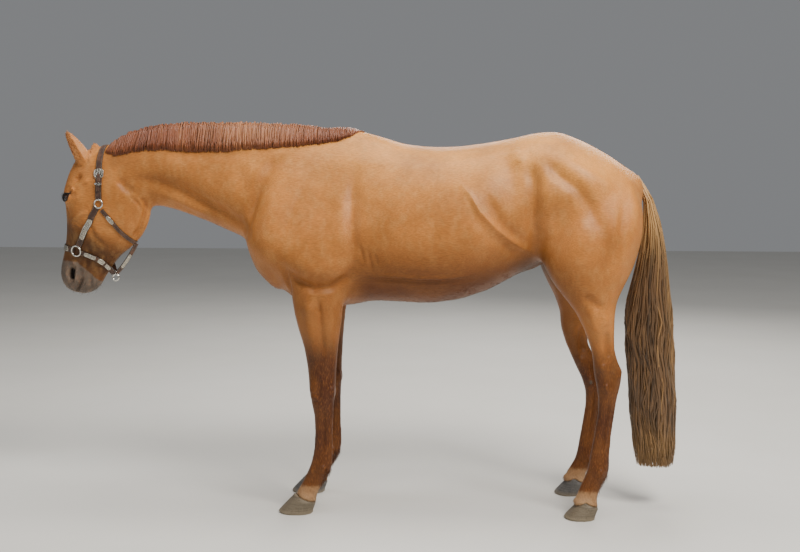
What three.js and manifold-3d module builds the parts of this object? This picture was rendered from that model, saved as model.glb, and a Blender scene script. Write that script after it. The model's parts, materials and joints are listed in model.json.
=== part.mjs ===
// A life-size standing stock horse with a trimmed mane, a full tail and a leather show halter.
// Millimetres, +Z up. The horse faces -X and its left side faces -Y. The hooves stand on z = 0.
import * as THREE from "three";
import { mergeVertices } from "three/addons/utils/BufferGeometryUtils.js";
import Module from "manifold-3d";

// ---- driving sizes -------------------------------------------------------------------------
const gap = 0.35; // clearance between neighbouring solids
const headTurn = THREE.MathUtils.degToRad(-9); // the face points a little to the horse's right
const pollX = -1150; // where the upright axis stands that the head turns about
const offFore = { elbow: -26, foot: 8, narrow: 36 }; // the right fore leg: ahead above, set in below
const offHindStep = -18;
const offHindDrop = 34; // how much lower the right hock is carried, at ease
const offHindBend = -62; // how far forward the right stifle and gaskin swing
const eye = { x: -1320, z: 1260, radius: 21, proud: 6 };
const ear = { length: 160, width: 37, depth: 38, wall: 5, cup: 16 };
const maneThickness = 14;
const ground = 17; // the tables below are measured from here
const strap = { thick: 4.5, wide: 25, narrow: 17 };
const ring = { upper: 17, side: 21, chin: 13, wire: 3.7, lift: 3 };

const wasm = await Module();
wasm.setup();

// ---- tools ---------------------------------------------------------------------------------
// A closed geometry as a solid that can be cut and joined, whichever way its faces were wound.
function solid(geometry) {
  const bare = geometry.index ? geometry.toNonIndexed() : geometry.clone();
  bare.deleteAttribute("normal");
  bare.deleteAttribute("uv");
  const merged = mergeVertices(bare, 1e-3);
  const build = (triVerts) => {
    const vertProperties = new Float32Array(merged.attributes.position.array);
    return new wasm.Manifold(new wasm.Mesh({ numProp: 3, vertProperties, triVerts }));
  };
  const body = build(new Uint32Array(merged.index.array));
  if (body.volume() > 0) return body;
  return build(new Uint32Array(merged.index.array).reverse());
}

// A solid as a BufferGeometry, less the crumbs that a cut can leave beside the main piece.
function geometryOf(body) {
  const largest = body.decompose().sort((a, b) => b.volume() - a.volume())[0];
  const mesh = largest.getMesh();
  const positions = new Float32Array(mesh.numVert * 3);
  for (let i = 0; i < mesh.numVert; i++) {
    const start = i * mesh.numProp;
    positions.set(mesh.vertProperties.subarray(start, start + 3), i * 3);
  }
  const geometry = new THREE.BufferGeometry();
  geometry.setAttribute("position", new THREE.BufferAttribute(positions, 3));
  geometry.setIndex(new THREE.BufferAttribute(mesh.triVerts, 1));
  return geometry;
}

const join = (...bodies) => bodies.reduce((whole, body) => whole.add(body));

// The same solid on the other side of the middle plane.
const mirrored = (body) => body.mirror([0, 1, 0]);

// A solid turned with the head about the upright axis at the poll.
function turnedWithHead(body) {
  const degrees = THREE.MathUtils.radToDeg(headTurn);
  return body.translate([-pollX, 0, 0]).rotate([0, 0, degrees]).translate([pollX, 0, 0]);
}

// A slab of the given thickness whose middle runs, in side view, from one [x, z] point to another.
function slab([x1, z1], [x2, z2], [y1, y2], thickness) {
  const geometry = new THREE.BoxGeometry(Math.hypot(x2 - x1, z2 - z1), y2 - y1, thickness);
  geometry.rotateY(-Math.atan2(z2 - z1, x2 - x1));
  geometry.translate((x1 + x2) / 2, (y1 + y2) / 2, (z1 + z2) / 2);
  return solid(geometry);
}

// An egg of flesh at a centre, with a reach along each axis.
function egg([x, y, z], [rx, ry, rz], pitch = 0) {
  const geometry = new THREE.SphereGeometry(1, 10, 6);
  geometry.scale(rx, ry, rz);
  geometry.rotateY(pitch);
  return solid(geometry.translate(x, y, z));
}

// How far muscles swell, or hollows sink, the side of a form at a point.
// A muscle is [x, z, reach in x, reach in z, rise].
function swell(muscles, x, z) {
  const share = ([mx, mz, rx, rz]) => Math.exp(-(((x - mx) / rx) ** 2) - ((z - mz) / rz) ** 2);
  return muscles.reduce((sum, muscle) => sum + muscle[4] * share(muscle), 0);
}

// A form lofted through sections. Each runs from a front or top point `a` to a back or bottom point
// `b`, both [x, z]; it has a half width `w`, a sideways offset `y`, the end that it is widest near
// (`lean`, + towards a), and how full each end is: 2 is an ellipse, less is a ridge, more is boxy.
function loft(sections, { sides = 20, fine = 1, grow = 0, muscles = [] } = {}) {
  const rail = (pick) => new THREE.CatmullRomCurve3(sections.map(pick), false, "centripetal");
  const railA = rail((s) => new THREE.Vector3(s.a[0], s.y ?? 0, s.a[1]));
  const railB = rail((s) => new THREE.Vector3(s.b[0], s.y ?? 0, s.b[1]));
  const railW = rail((s, i) => new THREE.Vector3(i * 100, s.w, (s.lean ?? 0) * 100));
  const railFull = rail((s, i) => new THREE.Vector3(i * 100, (s.fullA ?? 2) * 100, (s.fullB ?? 2) * 100));
  const tube = new THREE.CylinderGeometry(1, 1, 1, sides, (sections.length - 1) * fine);
  const position = tube.attributes.position;
  for (let i = 0; i < position.count; i++) {
    const t = THREE.MathUtils.clamp(position.getY(i) + 0.5, 0, 1);
    const across = position.getX(i);
    const along = position.getZ(i);
    const a = railA.getPoint(t);
    const b = railB.getPoint(t);
    const width = railW.getPoint(t);
    const full = railFull.getPoint(t);
    const middle = a.clone().add(b).multiplyScalar(0.5);
    const half = a.clone().sub(b).multiplyScalar(0.5);
    if (Math.hypot(across, along) < 0.5) {
      position.setXYZ(i, middle.x, middle.y, middle.z);
      continue;
    }
    const power = 2 / (along > 0 ? full.y / 100 : full.z / 100);
    const u = Math.sign(along) * Math.abs(along) ** power;
    const v = Math.sign(across) * Math.abs(across) ** power;
    const lean = (width.z / 100) * (1 - u * u);
    middle.addScaledVector(half, (u + lean) * (1 + grow / half.length()));
    const bulge = swell(muscles, middle.x, middle.z) * Math.abs(v);
    middle.y += v * (width.y + grow) + Math.sign(v) * bulge;
    position.setXYZ(i, middle.x, middle.y, middle.z);
  }
  return solid(tube);
}

// ---- trunk ---------------------------------------------------------------------------------
const trunkSections = [
  { a: [-606, 1185], b: [-606, 1050], w: 105 }, // breast
  { a: [-572, 1295], b: [-576, 990], w: 190, lean: -0.1, fullA: 1.9 },
  { a: [-500, 1395], b: [-512, 918], w: 234, lean: -0.18, fullA: 1.75 },
  { a: [-400, 1475], b: [-420, 852], w: 250, lean: -0.22, fullA: 1.6 }, // shoulder
  { a: [-290, 1528], b: [-300, 822], w: 252, lean: -0.22, fullA: 1.5 },
  { a: [-190, 1540], b: [-200, 828], w: 254, lean: -0.2, fullA: 1.5, fullB: 2.1 }, // withers
  { a: [-90, 1514], b: [-100, 848], w: 264, lean: -0.18, fullA: 1.65, fullB: 2.2 }, // girth
  { a: [20, 1478], b: [10, 845], w: 284, lean: -0.15, fullA: 1.85, fullB: 2.2 },
  { a: [130, 1466], b: [120, 840], w: 299, lean: -0.12, fullA: 2, fullB: 2.2 }, // barrel
  { a: [240, 1468], b: [240, 856], w: 300, lean: -0.1, fullA: 2.1, fullB: 2.2 },
  { a: [350, 1484], b: [355, 894], w: 286, lean: -0.04, fullA: 2.1, fullB: 2.1 }, // loin
  { a: [450, 1504], b: [460, 950], w: 262, lean: 0, fullA: 2 },
  { a: [540, 1524], b: [550, 1000], w: 258, lean: 0.03, fullA: 1.95 }, // point of hip
  { a: [625, 1528], b: [640, 1020], w: 262, lean: 0, fullA: 1.9 }, // croup
  { a: [722, 1490], b: [735, 1030], w: 258, lean: -0.04 },
  { a: [815, 1440], b: [820, 1060], w: 226, lean: -0.05 },
  { a: [885, 1390], b: [882, 1125], w: 182 },
  { a: [934, 1356], b: [928, 1180], w: 128 }, // buttock
  { a: [957, 1332], b: [950, 1225], w: 76 },
];
const trunkMuscles = [
  [-575, 1085, 70, 90, 22], // point of shoulder
  [-330, 1010, 150, 90, 26], // triceps
  [-430, 1250, 110, 170, 8], // shoulder blade
  [-150, 1040, 60, 150, -16], // hollow behind the elbow
  [535, 1440, 55, 50, 14], // point of hip
  [455, 1330, 60, 110, -20], // flank hollow
  [700, 1330, 120, 120, 12], // gluteals
];

// ---- neck ----------------------------------------------------------------------------------
const neckSections = [
  { a: [-230, 1525], b: [-440, 980], w: 180, lean: -0.25, fullA: 1.6 },
  { a: [-370, 1545], b: [-575, 1068], w: 172, lean: -0.25, fullA: 1.6 },
  { a: [-500, 1554], b: [-655, 1108], w: 152, lean: -0.2, fullA: 1.6 },
  { a: [-620, 1558], b: [-725, 1140], w: 130, lean: -0.15, fullA: 1.6 },
  { a: [-740, 1558], b: [-795, 1168], w: 112, lean: -0.1, fullA: 1.6 },
  { a: [-860, 1556], b: [-865, 1193], w: 98, lean: -0.02, fullA: 1.65 },
  { a: [-975, 1547], b: [-925, 1212], w: 90, lean: 0, fullA: 1.7 },
  { a: [-1080, 1520], b: [-972, 1222], w: 86, lean: 0, fullA: 1.8 },
  { a: [-1160, 1486], b: [-1005, 1228], w: 82, lean: 0 },
  { a: [-1225, 1450], b: [-1050, 1205], w: 70 },
];

// ---- head, upright in its own middle plane --------------------------------------------------
const headSections = [
  { a: [-1150, 1462], b: [-990, 1262], w: 58 }, // behind the poll
  { a: [-1215, 1470], b: [-1000, 1230], w: 74, fullA: 2.2 },
  { a: [-1272, 1452], b: [-1002, 1196], w: 84, lean: 0.1, fullA: 2.4, fullB: 1.8 },
  { a: [-1318, 1415], b: [-1016, 1146], w: 92, lean: 0.2, fullA: 2.5, fullB: 1.7 },
  { a: [-1343, 1365], b: [-1042, 1100], w: 96, lean: 0.3, fullA: 2.6, fullB: 1.7 }, // forehead
  { a: [-1357, 1308], b: [-1078, 1064], w: 98, lean: 0.36, fullA: 2.7, fullB: 1.7 }, // eyes
  { a: [-1363, 1248], b: [-1112, 1040], w: 93, lean: 0.28, fullA: 2.3, fullB: 1.8 },
  { a: [-1368, 1190], b: [-1140, 1020], w: 80, lean: 0.2, fullA: 2.1, fullB: 1.9 },
  { a: [-1372, 1132], b: [-1160, 996], w: 67, lean: 0.2, fullA: 2.1 },
  { a: [-1380, 1078], b: [-1180, 972], w: 58, lean: 0.15, fullA: 2.2 }, // noseband
  { a: [-1392, 1028], b: [-1198, 948], w: 54, lean: 0.1, fullA: 2.2 },
  { a: [-1402, 984], b: [-1214, 926], w: 57, lean: 0.15, fullA: 2.3 }, // nostrils
  { a: [-1407, 944], b: [-1226, 906], w: 57, lean: 0.1, fullA: 2.4 },
  { a: [-1400, 908], b: [-1240, 888], w: 50, lean: 0.05, fullA: 2.4 }, // lips
  { a: [-1380, 880], b: [-1265, 870], w: 38 },
  { a: [-1345, 866], b: [-1300, 862], w: 18 },
];
const headMuscles = [
  [-1318, 1268, 46, 40, 17], // rim of the eye socket
  [-1290, 1345, 26, 24, -10], // hollow above the eye
  [-1120, 1180, 70, 80, 9], // cheek muscle
  [-1310, 1140, 22, 60, 5], // facial crest
];

// ---- legs, as if on the middle plane --------------------------------------------------------
const foreSections = [
  { a: [-455, 1040], b: [-170, 1040], w: 62, y: 150, lean: 0 },
  { a: [-440, 960], b: [-172, 960], w: 72, y: 166, lean: 0 },
  { a: [-425, 900], b: [-186, 900], w: 74, y: 172, lean: 0 }, // elbow
  { a: [-413, 845], b: [-203, 845], w: 70, y: 172, lean: 0.05 },
  { a: [-392, 760], b: [-217, 760], w: 61, y: 170, lean: 0.1 }, // forearm
  { a: [-368, 680], b: [-227, 680], w: 53, y: 168, lean: 0.1 },
  { a: [-357, 610], b: [-234, 610], w: 46, y: 167 },
  { a: [-351, 555], b: [-238, 555], w: 44, y: 166, fullA: 2.4 },
  { a: [-348, 505], b: [-240, 505], w: 46, y: 166, fullA: 2.6, fullB: 1.8 }, // knee
  { a: [-339, 455], b: [-246, 455], w: 40, y: 166, fullA: 2.4, fullB: 1.8 },
  { a: [-330, 405], b: [-249, 405], w: 30, y: 166 },
  { a: [-327, 340], b: [-250, 340], w: 25, y: 166, lean: 0.2 }, // cannon
  { a: [-332, 270], b: [-251, 270], w: 25.5, y: 166, lean: 0.2 },
  { a: [-343, 222], b: [-253, 220], w: 31, y: 166 },
  { a: [-357, 185], b: [-262, 182], w: 34, y: 166 }, // fetlock
  { a: [-378, 144], b: [-288, 140], w: 29, y: 166 },
  { a: [-396, 110], b: [-312, 98], w: 30, y: 166 }, // pastern
  { a: [-407, 88], b: [-325, 64], w: 44, y: 166 },
  { a: [-414, 66], b: [-328, 44], w: 44, y: 166 },
];
const hindSections = [
  { a: [650, 1420], b: [850, 1400], w: 60, y: 90 },
  { a: [585, 1345], b: [915, 1335], w: 100, y: 108 },
  { a: [556, 1250], b: [950, 1235], w: 128, y: 130, fullB: 2.2 },
  { a: [544, 1150], b: [950, 1140], w: 140, y: 146, fullB: 2.2 },
  { a: [540, 1070], b: [935, 1060], w: 140, y: 152, lean: 0.1, fullB: 2.1 }, // thigh
  { a: [556, 1010], b: [912, 990], w: 128, y: 160, lean: 0.15 }, // stifle
  { a: [596, 945], b: [878, 925], w: 106, y: 168, lean: 0.15 },
  { a: [644, 885], b: [852, 870], w: 82, y: 172, lean: 0.1 },
  { a: [690, 825], b: [843, 815], w: 63, y: 174 }, // gaskin
  { a: [724, 755], b: [842, 750], w: 50, y: 174 },
  { a: [748, 690], b: [845, 690], w: 40, y: 173, lean: 0.15 },
  { a: [757, 640], b: [858, 645], w: 37, y: 172, lean: 0.15, fullB: 1.7 },
  { a: [762, 590], b: [877, 600], w: 39, y: 171, lean: 0.15, fullB: 1.8 }, // hock
  { a: [772, 545], b: [870, 545], w: 40, y: 171, lean: 0.1, fullB: 1.9 },
  { a: [781, 490], b: [857, 495], w: 35, y: 170 },
  { a: [779, 430], b: [848, 430], w: 28, y: 170 },
  { a: [767, 350], b: [839, 350], w: 25.5, y: 170, lean: 0.2 }, // hind cannon
  { a: [755, 280], b: [834, 280], w: 25.5, y: 170, lean: 0.2 },
  { a: [747, 232], b: [833, 228], w: 31, y: 170 },
  { a: [738, 194], b: [828, 188], w: 34, y: 170 }, // fetlock
  { a: [718, 150], b: [803, 144], w: 29, y: 170 },
  { a: [704, 112], b: [788, 100], w: 30, y: 170 }, // pastern
  { a: [698, 88], b: [788, 66], w: 44, y: 170 },
  { a: [692, 66], b: [784, 46], w: 44, y: 170 },
];

// The off hind leg rests: its foot a step ahead, its hock lower, its gaskin swung forward.
function eased(sections) {
  const move = ([x, z]) => {
    const below = THREE.MathUtils.smoothstep(950 - z, 0, 350);
    const settled = THREE.MathUtils.smoothstep(1180 - z, 0, 330) * THREE.MathUtils.smoothstep(z, 60, 230);
    const bend = Math.exp(-(((z - 725) / 140) ** 2));
    return [x + offHindStep * below + offHindBend * bend, z - offHindDrop * settled];
  };
  return sections.map((s) => ({ ...s, a: move(s.a), b: move(s.b) }));
}


// ---- tail ----------------------------------------------------------------------------------
const tailSections = [
  { a: [948, 1369], b: [922, 1322], w: 30 },
  { a: [996, 1305], b: [946, 1272], w: 37 },
  { a: [1026, 1212], b: [958, 1200], w: 43 },
  { a: [1050, 1115], b: [954, 1100], w: 52 },
  { a: [1067, 1010], b: [934, 990], w: 62 },
  { a: [1083, 877], b: [900, 870], w: 70 },
  { a: [1096, 737], b: [892, 734], w: 76 },
  { a: [1109, 516], b: [913, 510], w: 78 },
  { a: [1117, 330], b: [926, 335], w: 74 },
  { a: [1112, 225], b: [944, 232], w: 62 },
  { a: [1062, 184], b: [985, 186], w: 34 },
];

// ---- mane outline on the left of the neck, [x, z] --------------------------------------------
const maneOutline = [
  [-1180, 1620], [-1180, 1449], [-1134, 1428], [-1073, 1441], [-951, 1453], [-831, 1446], [-710, 1446],
  [-590, 1454], [-470, 1462], [-390, 1468], [-311, 1476], [-239, 1486], [-180, 1505], [-150, 1545],
  [-145, 1620],
];

// ---- flesh ---------------------------------------------------------------------------------
const legShare = (z) => THREE.MathUtils.clamp(z / 900, 0, 1); // 0 at the foot, 1 at the elbow
const foreStep = (z) => THREE.MathUtils.lerp(offFore.foot, offFore.elbow, legShare(z));
const onSide = (sections, side) => sections.map((s) => ({ ...s, y: side * s.y }));
function steppedFore(sections) {
  const move = ([x, z]) => [x + foreStep(z), z];
  const inward = (z) => offFore.narrow * (1 - legShare(z));
  return sections.map((s) => ({ ...s, y: s.y - inward(s.a[1]), a: move(s.a), b: move(s.b) }));
}

const grownForeLegs = (grow) =>
  loft(onSide(foreSections, -1), { sides: 10, grow }).add(
    loft(steppedFore(foreSections), { sides: 10, grow }),
  );
const grownHindLegs = (grow) =>
  loft(onSide(hindSections, -1), { sides: 10, grow }).add(
    loft(eased(hindSections), { sides: 10, grow }),
  );
const headLoft = (grow) => loft(headSections, { sides: 18, grow, muscles: headMuscles });
const grownHead = (grow) => turnedWithHead(headLoft(grow));
const grownNeck = (grow) => loft(neckSections, { sides: 16, grow });
const grownTrunk = (grow) => loft(trunkSections, { sides: 20, grow, muscles: trunkMuscles });
const eggs = [egg([535, 0, 1004], [62, 27, 34], -0.5)]; // sheath
for (const side of [-1, 1]) {
  eggs.push(egg([-508, side * 90, 1008], [80, 98, 124])); // breast muscle
}
const flesh = join(grownTrunk(0), grownNeck(0), grownHead(0), grownForeLegs(0), grownHindLegs(0), ...eggs);

// Where the right side of the unturned head lies at a point of the side view, and which way it faces.
const headMesh = new THREE.Mesh(geometryOf(headLoft(0)), new THREE.MeshBasicMaterial());
function cheekAt(x, z) {
  const ray = new THREE.Raycaster(new THREE.Vector3(x, 400, z), new THREE.Vector3(0, -1, 0));
  const hit = ray.intersectObject(headMesh)[0];
  return { point: hit.point, facing: hit.face.normal };
}

// ---- eyes and ears ---------------------------------------------------------------------------
function eyeAt(side, grow) {
  const geometry = new THREE.SphereGeometry(eye.radius + grow, 10, 7);
  geometry.rotateX(Math.PI / 2);
  const y = cheekAt(eye.x, eye.z).point.y - eye.radius + eye.proud;
  return turnedWithHead(solid(geometry.translate(eye.x, side * y, eye.z)));
}

// An ear stands on z = 0 and opens towards -X.
function earShell() {
  const outline = [
    [0, 0], [0.86, 0], [0.98, 0.14], [1, 0.3], [0.88, 0.5], [0.64, 0.72], [0.36, 0.9], [0, 1],
  ];
  const turned = (radius, depth, length) => {
    const points = outline.map(([r, h]) => new THREE.Vector2(r * radius, h * length));
    const geometry = new THREE.LatheGeometry(points, 8);
    geometry.rotateX(Math.PI / 2);
    return solid(geometry.scale(depth / radius, 1, 1));
  };
  const outer = turned(ear.width, ear.depth, ear.length);
  const inner = turned(ear.width - ear.wall, ear.depth, ear.length - 24).translate([-ear.cup, 0, 16]);
  return outer.subtract(inner);
}
const earPlaces = [
  { base: [-1257, -52, 1388], lean: -29, splay: 6, face: -8 },
  { base: [-1260, 56, 1384], lean: -26, splay: -50, face: -30 },
];
function earAt({ base, lean, splay, face }) {
  const upright = earShell().rotate([0, 0, face]);
  return turnedWithHead(upright.rotate([0, lean, 0]).rotate([splay, 0, 0]).translate(base));
}

// ---- hooves --------------------------------------------------------------------------------
const hoofPlaces = {
  fore_hoof_left: [-474, -336, -166],
  fore_hoof_right: [-474 + offFore.foot, -336 + offFore.foot, 166 - offFore.narrow],
  hind_hoof_left: [656, 778, -170],
  hind_hoof_right: [656 + offHindStep, 778 + offHindStep, 170],
};
function hoofAt([toe, heel, y], grow = 0) {
  const sections = [
    { a: [toe + 4, ground], b: [heel + 2, ground], w: 58, lean: 0.05, fullA: 2.1, fullB: 2.4 },
    { a: [toe, ground + 6], b: [heel, ground + 5], w: 61, lean: 0.05, fullA: 2.1, fullB: 2.4 },
    { a: [toe + 32, ground + 40], b: [heel + 6, ground + 22], w: 56, lean: 0.02, fullA: 2.1, fullB: 2.3 },
    { a: [toe + 66, ground + 76], b: [heel + 12, ground + 42], w: 48, fullA: 2.1, fullB: 2.2 }, // coronet
  ];
  return loft(sections.map((s) => ({ ...s, y })), { sides: 14, grow });
}

// ---- halter --------------------------------------------------------------------------------
// A band lies on the head and neck between two heights above the skin.
const grownTop = (grow) => grownHead(grow).add(grownNeck(grow));
const strapShell = grownTop(0.4 + strap.thick).subtract(grownTop(0.4));
const trimShell = grownTop(0.8 + strap.thick + 2.2).subtract(grownTop(0.8 + strap.thick));
const headSlab = (from, to, wide, reach = [-190, 190]) => turnedWithHead(slab(from, to, reach, wide));
const upperRing = [-1188, 1237];
const sideRing = [-1307, 1043];

// A plug through the whole head that clears the straps from a ring.
function plug([x, z], radius) {
  const reach = radius + ring.wire + ring.lift;
  const geometry = new THREE.CylinderGeometry(reach, reach, 500, 10);
  return turnedWithHead(solid(geometry.translate(x, 0, z)));
}
function ringAt(point, facing, radius) {
  const geometry = new THREE.TorusGeometry(radius, ring.wire, 4, 10);
  const turn = new THREE.Quaternion().setFromUnitVectors(new THREE.Vector3(0, 0, 1), facing);
  geometry.applyQuaternion(turn);
  return solid(geometry.translate(point.x, point.y, point.z));
}
function ringOnCheek([x, z], side, radius) {
  const { point, facing } = cheekAt(x, z);
  const onRight = ringAt(point.addScaledVector(facing, ring.wire + ring.lift), facing, radius);
  return turnedWithHead(side > 0 ? onRight : mirrored(onRight));
}
const plugs = plug(upperRing, ring.upper).add(plug(sideRing, ring.side));
const crownPath = headSlab(upperRing, [-1186, 1368], strap.wide).add(
  headSlab([-1186, 1356], [-1195, 1520], strap.wide),
);
const cheekPath = headSlab([-1199, 1233], [-1311, 1046], strap.wide);
const nosePath = headSlab(sideRing, [-1410, 1060], strap.wide);
const chinPath = headSlab(sideRing, [-1228, 1014], strap.wide).add(
  headSlab([-1234, 1018], [-1138, 950], strap.wide),
);
const throatPath = headSlab([-1194, 1232], [-1084, 1088], strap.narrow).add(
  headSlab([-1090, 1090], [-1005, 1042], strap.narrow),
);
const jawPath = headSlab([-1030, 1092], [-1170, 950], 90, [-9, 9]);

// ---- assemble ------------------------------------------------------------------------------
const part = new THREE.Group();

function addMesh(name, body, color, roughness, metalness = 0) {
  const material = new THREE.MeshStandardMaterial({ color, roughness, metalness });
  const mesh = new THREE.Mesh(geometryOf(body), material);
  mesh.name = name;
  part.add(mesh);
  return mesh;
}

// The flesh is parted with thin cuts where a person would name the parts.
const across = [-340, 340];
const partings = [
  slab([-1225, 1530], [-950, 1197], across, gap), // head from neck
  slab([-205, 1600], [-665, 1056], across, gap), // neck from shoulders
  slab([-150, 1600], [-150, 780], across, gap), // shoulders from barrel
  slab([430, 1580], [482, 900], across, gap), // barrel from hindquarters
  headSlab([-1440, 1057], [-1150, 913], gap), // muzzle from face
];
for (const side of [-1, 1]) {
  const reach = [side * 210 - 118, side * 210 + 118];
  const hindReach = [side * 185 - 155, side * 185 + 155];
  const step = side > 0 ? offFore.elbow : 0;
  partings.push(slab([-480 + step, 850], [-150 + step, 814], reach, gap)); // forearm
  partings.push(slab([-420, 596], [-190, 596], reach, gap)); // knee
  partings.push(slab([-420, 418], [-190, 418], reach, gap));
  partings.push(slab([-430, 252], [-190, 240], reach, gap)); // fore fetlock
  partings.push(slab([490, 965], [985, 1008], hindReach, gap)); // gaskin
  const drop = side > 0 ? offHindDrop : 0;
  partings.push(slab([640, 672 - drop], [900, 650 - drop], hindReach, gap)); // hock
  partings.push(slab([680, 492 - drop], [900, 506 - drop], hindReach, gap));
  partings.push(slab([680, 262 - drop], [900, 252 - drop], hindReach, gap)); // hind fetlock
}
const sockets = [-1, 1].map((side) => eyeAt(side, gap));
const shod = Object.values(hoofPlaces).map((place) => hoofAt(place, gap));
const parted = flesh.subtract(join(...partings)).subtract(join(...sockets, ...shod)).decompose();

// The piece of flesh whose middle is nearest to a point.
function pieceAt(x, y, z) {
  const wanted = new THREE.Vector3(x, y, z);
  const distance = (piece) => {
    const box = piece.boundingBox();
    const middle = new THREE.Vector3(...box.min).add(new THREE.Vector3(...box.max)).multiplyScalar(0.5);
    return middle.distanceTo(wanted);
  };
  const large = parted.filter((piece) => piece.volume() > 20000);
  return large.reduce((best, piece) => (distance(piece) < distance(best) ? piece : best));
}
const coat = "#b98152";
const shade = "#7c5034";
const fleshParts = [
  ["muzzle", [-1300, 25, 950], "#75655c"],
  ["head", [-1190, 10, 1230], coat],
  ["neck", [-780, 0, 1320], coat],
  ["shoulders", [-380, 0, 1180], coat],
  ["barrel", [160, 0, 1170], coat],
  ["hindquarters", [720, 0, 1260], coat],
];
for (const [side, word] of [[-1, "left"], [1, "right"]]) {
  const step = side > 0 ? foreStep(500) : 0;
  const drop = side > 0 ? offHindDrop : 0;
  fleshParts.push([`forearm_${word}`, [-310 + step, side * 170, 725], coat]);
  fleshParts.push([`knee_${word}`, [-295 + step, side * 166, 505], shade]);
  fleshParts.push([`fore_cannon_${word}`, [-290 + step, side * 166, 330], shade]);
  fleshParts.push([`fore_pastern_${word}`, [-330 + step, side * 166, 160], shade]);
  fleshParts.push([`gaskin_${word}`, [735, side * 165, 855 - drop], coat]);
  fleshParts.push([`hock_${word}`, [810, side * 170, 580 - drop], shade]);
  fleshParts.push([`hind_cannon_${word}`, [808, side * 170, 375 - drop], shade]);
  fleshParts.push([`hind_pastern_${word}`, [768, side * 170, 160 - drop / 2], shade]);
}
for (const [name, place, color] of fleshParts) addMesh(name, pieceAt(...place), color, 0.55);

for (const [name, place] of Object.entries(hoofPlaces)) addMesh(name, hoofAt(place), "#5d5347", 0.6);
const skull = grownTop(gap);
addMesh("ear_left", earAt(earPlaces[0]).subtract(skull), coat, 0.6);
addMesh("ear_right", earAt(earPlaces[1]).subtract(skull), coat, 0.6);
addMesh("eye_left", eyeAt(-1, 0), "#1d1210", 0.08);
addMesh("eye_right", eyeAt(1, 0), "#1d1210", 0.08);

const maneShape = new THREE.Shape(maneOutline.map(([x, z]) => new THREE.Vector2(x, z)));
const maneRegion = new THREE.ExtrudeGeometry(maneShape, { depth: 200, bevelEnabled: false });
maneRegion.rotateX(Math.PI / 2);
maneRegion.translate(0, 16, 0);
const maneHair = grownNeck(maneThickness).add(grownTrunk(maneThickness)).intersect(solid(maneRegion));
const underMane = join(grownNeck(0.4), grownTrunk(0.4), grownHead(0.4), crownPath.intersect(grownTop(6)));
addMesh("mane", maneHair.subtract(underMane), "#9a6048", 0.6);

const tailHair = loft(tailSections, { sides: 8 }).subtract(
  join(grownTrunk(gap), grownTrunk(gap).translate([gap, 0, 0]), grownHindLegs(gap)),
);
const tailSplit = slab([800, 1062], [1200, 1080], [-200, 200], gap);
const tailParts = tailHair.subtract(tailSplit).decompose().sort((a, b) => b.volume() - a.volume());
addMesh("tail_hair", tailParts[0], "#86664b", 0.6);
addMesh("tail_dock", tailParts[1], "#a87850", 0.6);

function leather(name, path, cut = plugs) {
  return addMesh(name, strapShell.intersect(path).subtract(cut), "#3f2a20", 0.5);
}
const half = (side) => solid(new THREE.BoxGeometry(900, 300, 1200).translate(-1200, side * 150 + 20, 1200));
leather("halter_crown", crownPath);
leather("halter_noseband", nosePath);
leather("halter_chin_strap", chinPath);
leather("halter_throat", throatPath);
const aboveJaw = solid(new THREE.BoxGeometry(600, 600, 600).translate(-1200, 0, 1420));
leather("halter_jaw_strap", jawPath, join(throatPath, chinPath, aboveJaw));
const chinRing = ringAt(new THREE.Vector3(-1167, 0, 932), new THREE.Vector3(0, 1, 0), ring.chin);
addMesh("halter_chin_ring", turnedWithHead(chinRing), "#c4c0b6", 0.25, 1);
for (const [side, word] of [[-1, "left"], [1, "right"]]) {
  leather(`halter_cheek_${word}`, cheekPath.intersect(half(side)));
  addMesh(`halter_upper_ring_${word}`, ringOnCheek(upperRing, side, ring.upper), "#c4c0b6", 0.25, 1);
  addMesh(`halter_side_ring_${word}`, ringOnCheek(sideRing, side, ring.side), "#c4c0b6", 0.25, 1);
  const plate = headSlab([-1232, 1178], [-1281, 1096], 28).intersect(half(side));
  addMesh(`halter_plate_${word}`, trimShell.intersect(plate), "#c4c0b6", 0.25, 1);
}
const buckle = headSlab([-1186, 1340], [-1187, 1382], 40).intersect(half(-1));
addMesh("halter_buckle", trimShell.intersect(buckle), "#c4c0b6", 0.25, 1);

// ---- stand the horse on z = 0 about its own middle -------------------------------------------
const bounds = new THREE.Box3().setFromObject(part);
const middle = bounds.getCenter(new THREE.Vector3());
for (const mesh of part.children) mesh.geometry.translate(-middle.x, -middle.y, -bounds.min.z);

export default part;
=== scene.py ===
import json
import math

import bmesh
import bpy
import numpy as np
from mathutils import Matrix, Vector
from mathutils.bvhtree import BVHTree
from mathutils.geometry import barycentric_transform
from mathutils.kdtree import KDTree

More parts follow.
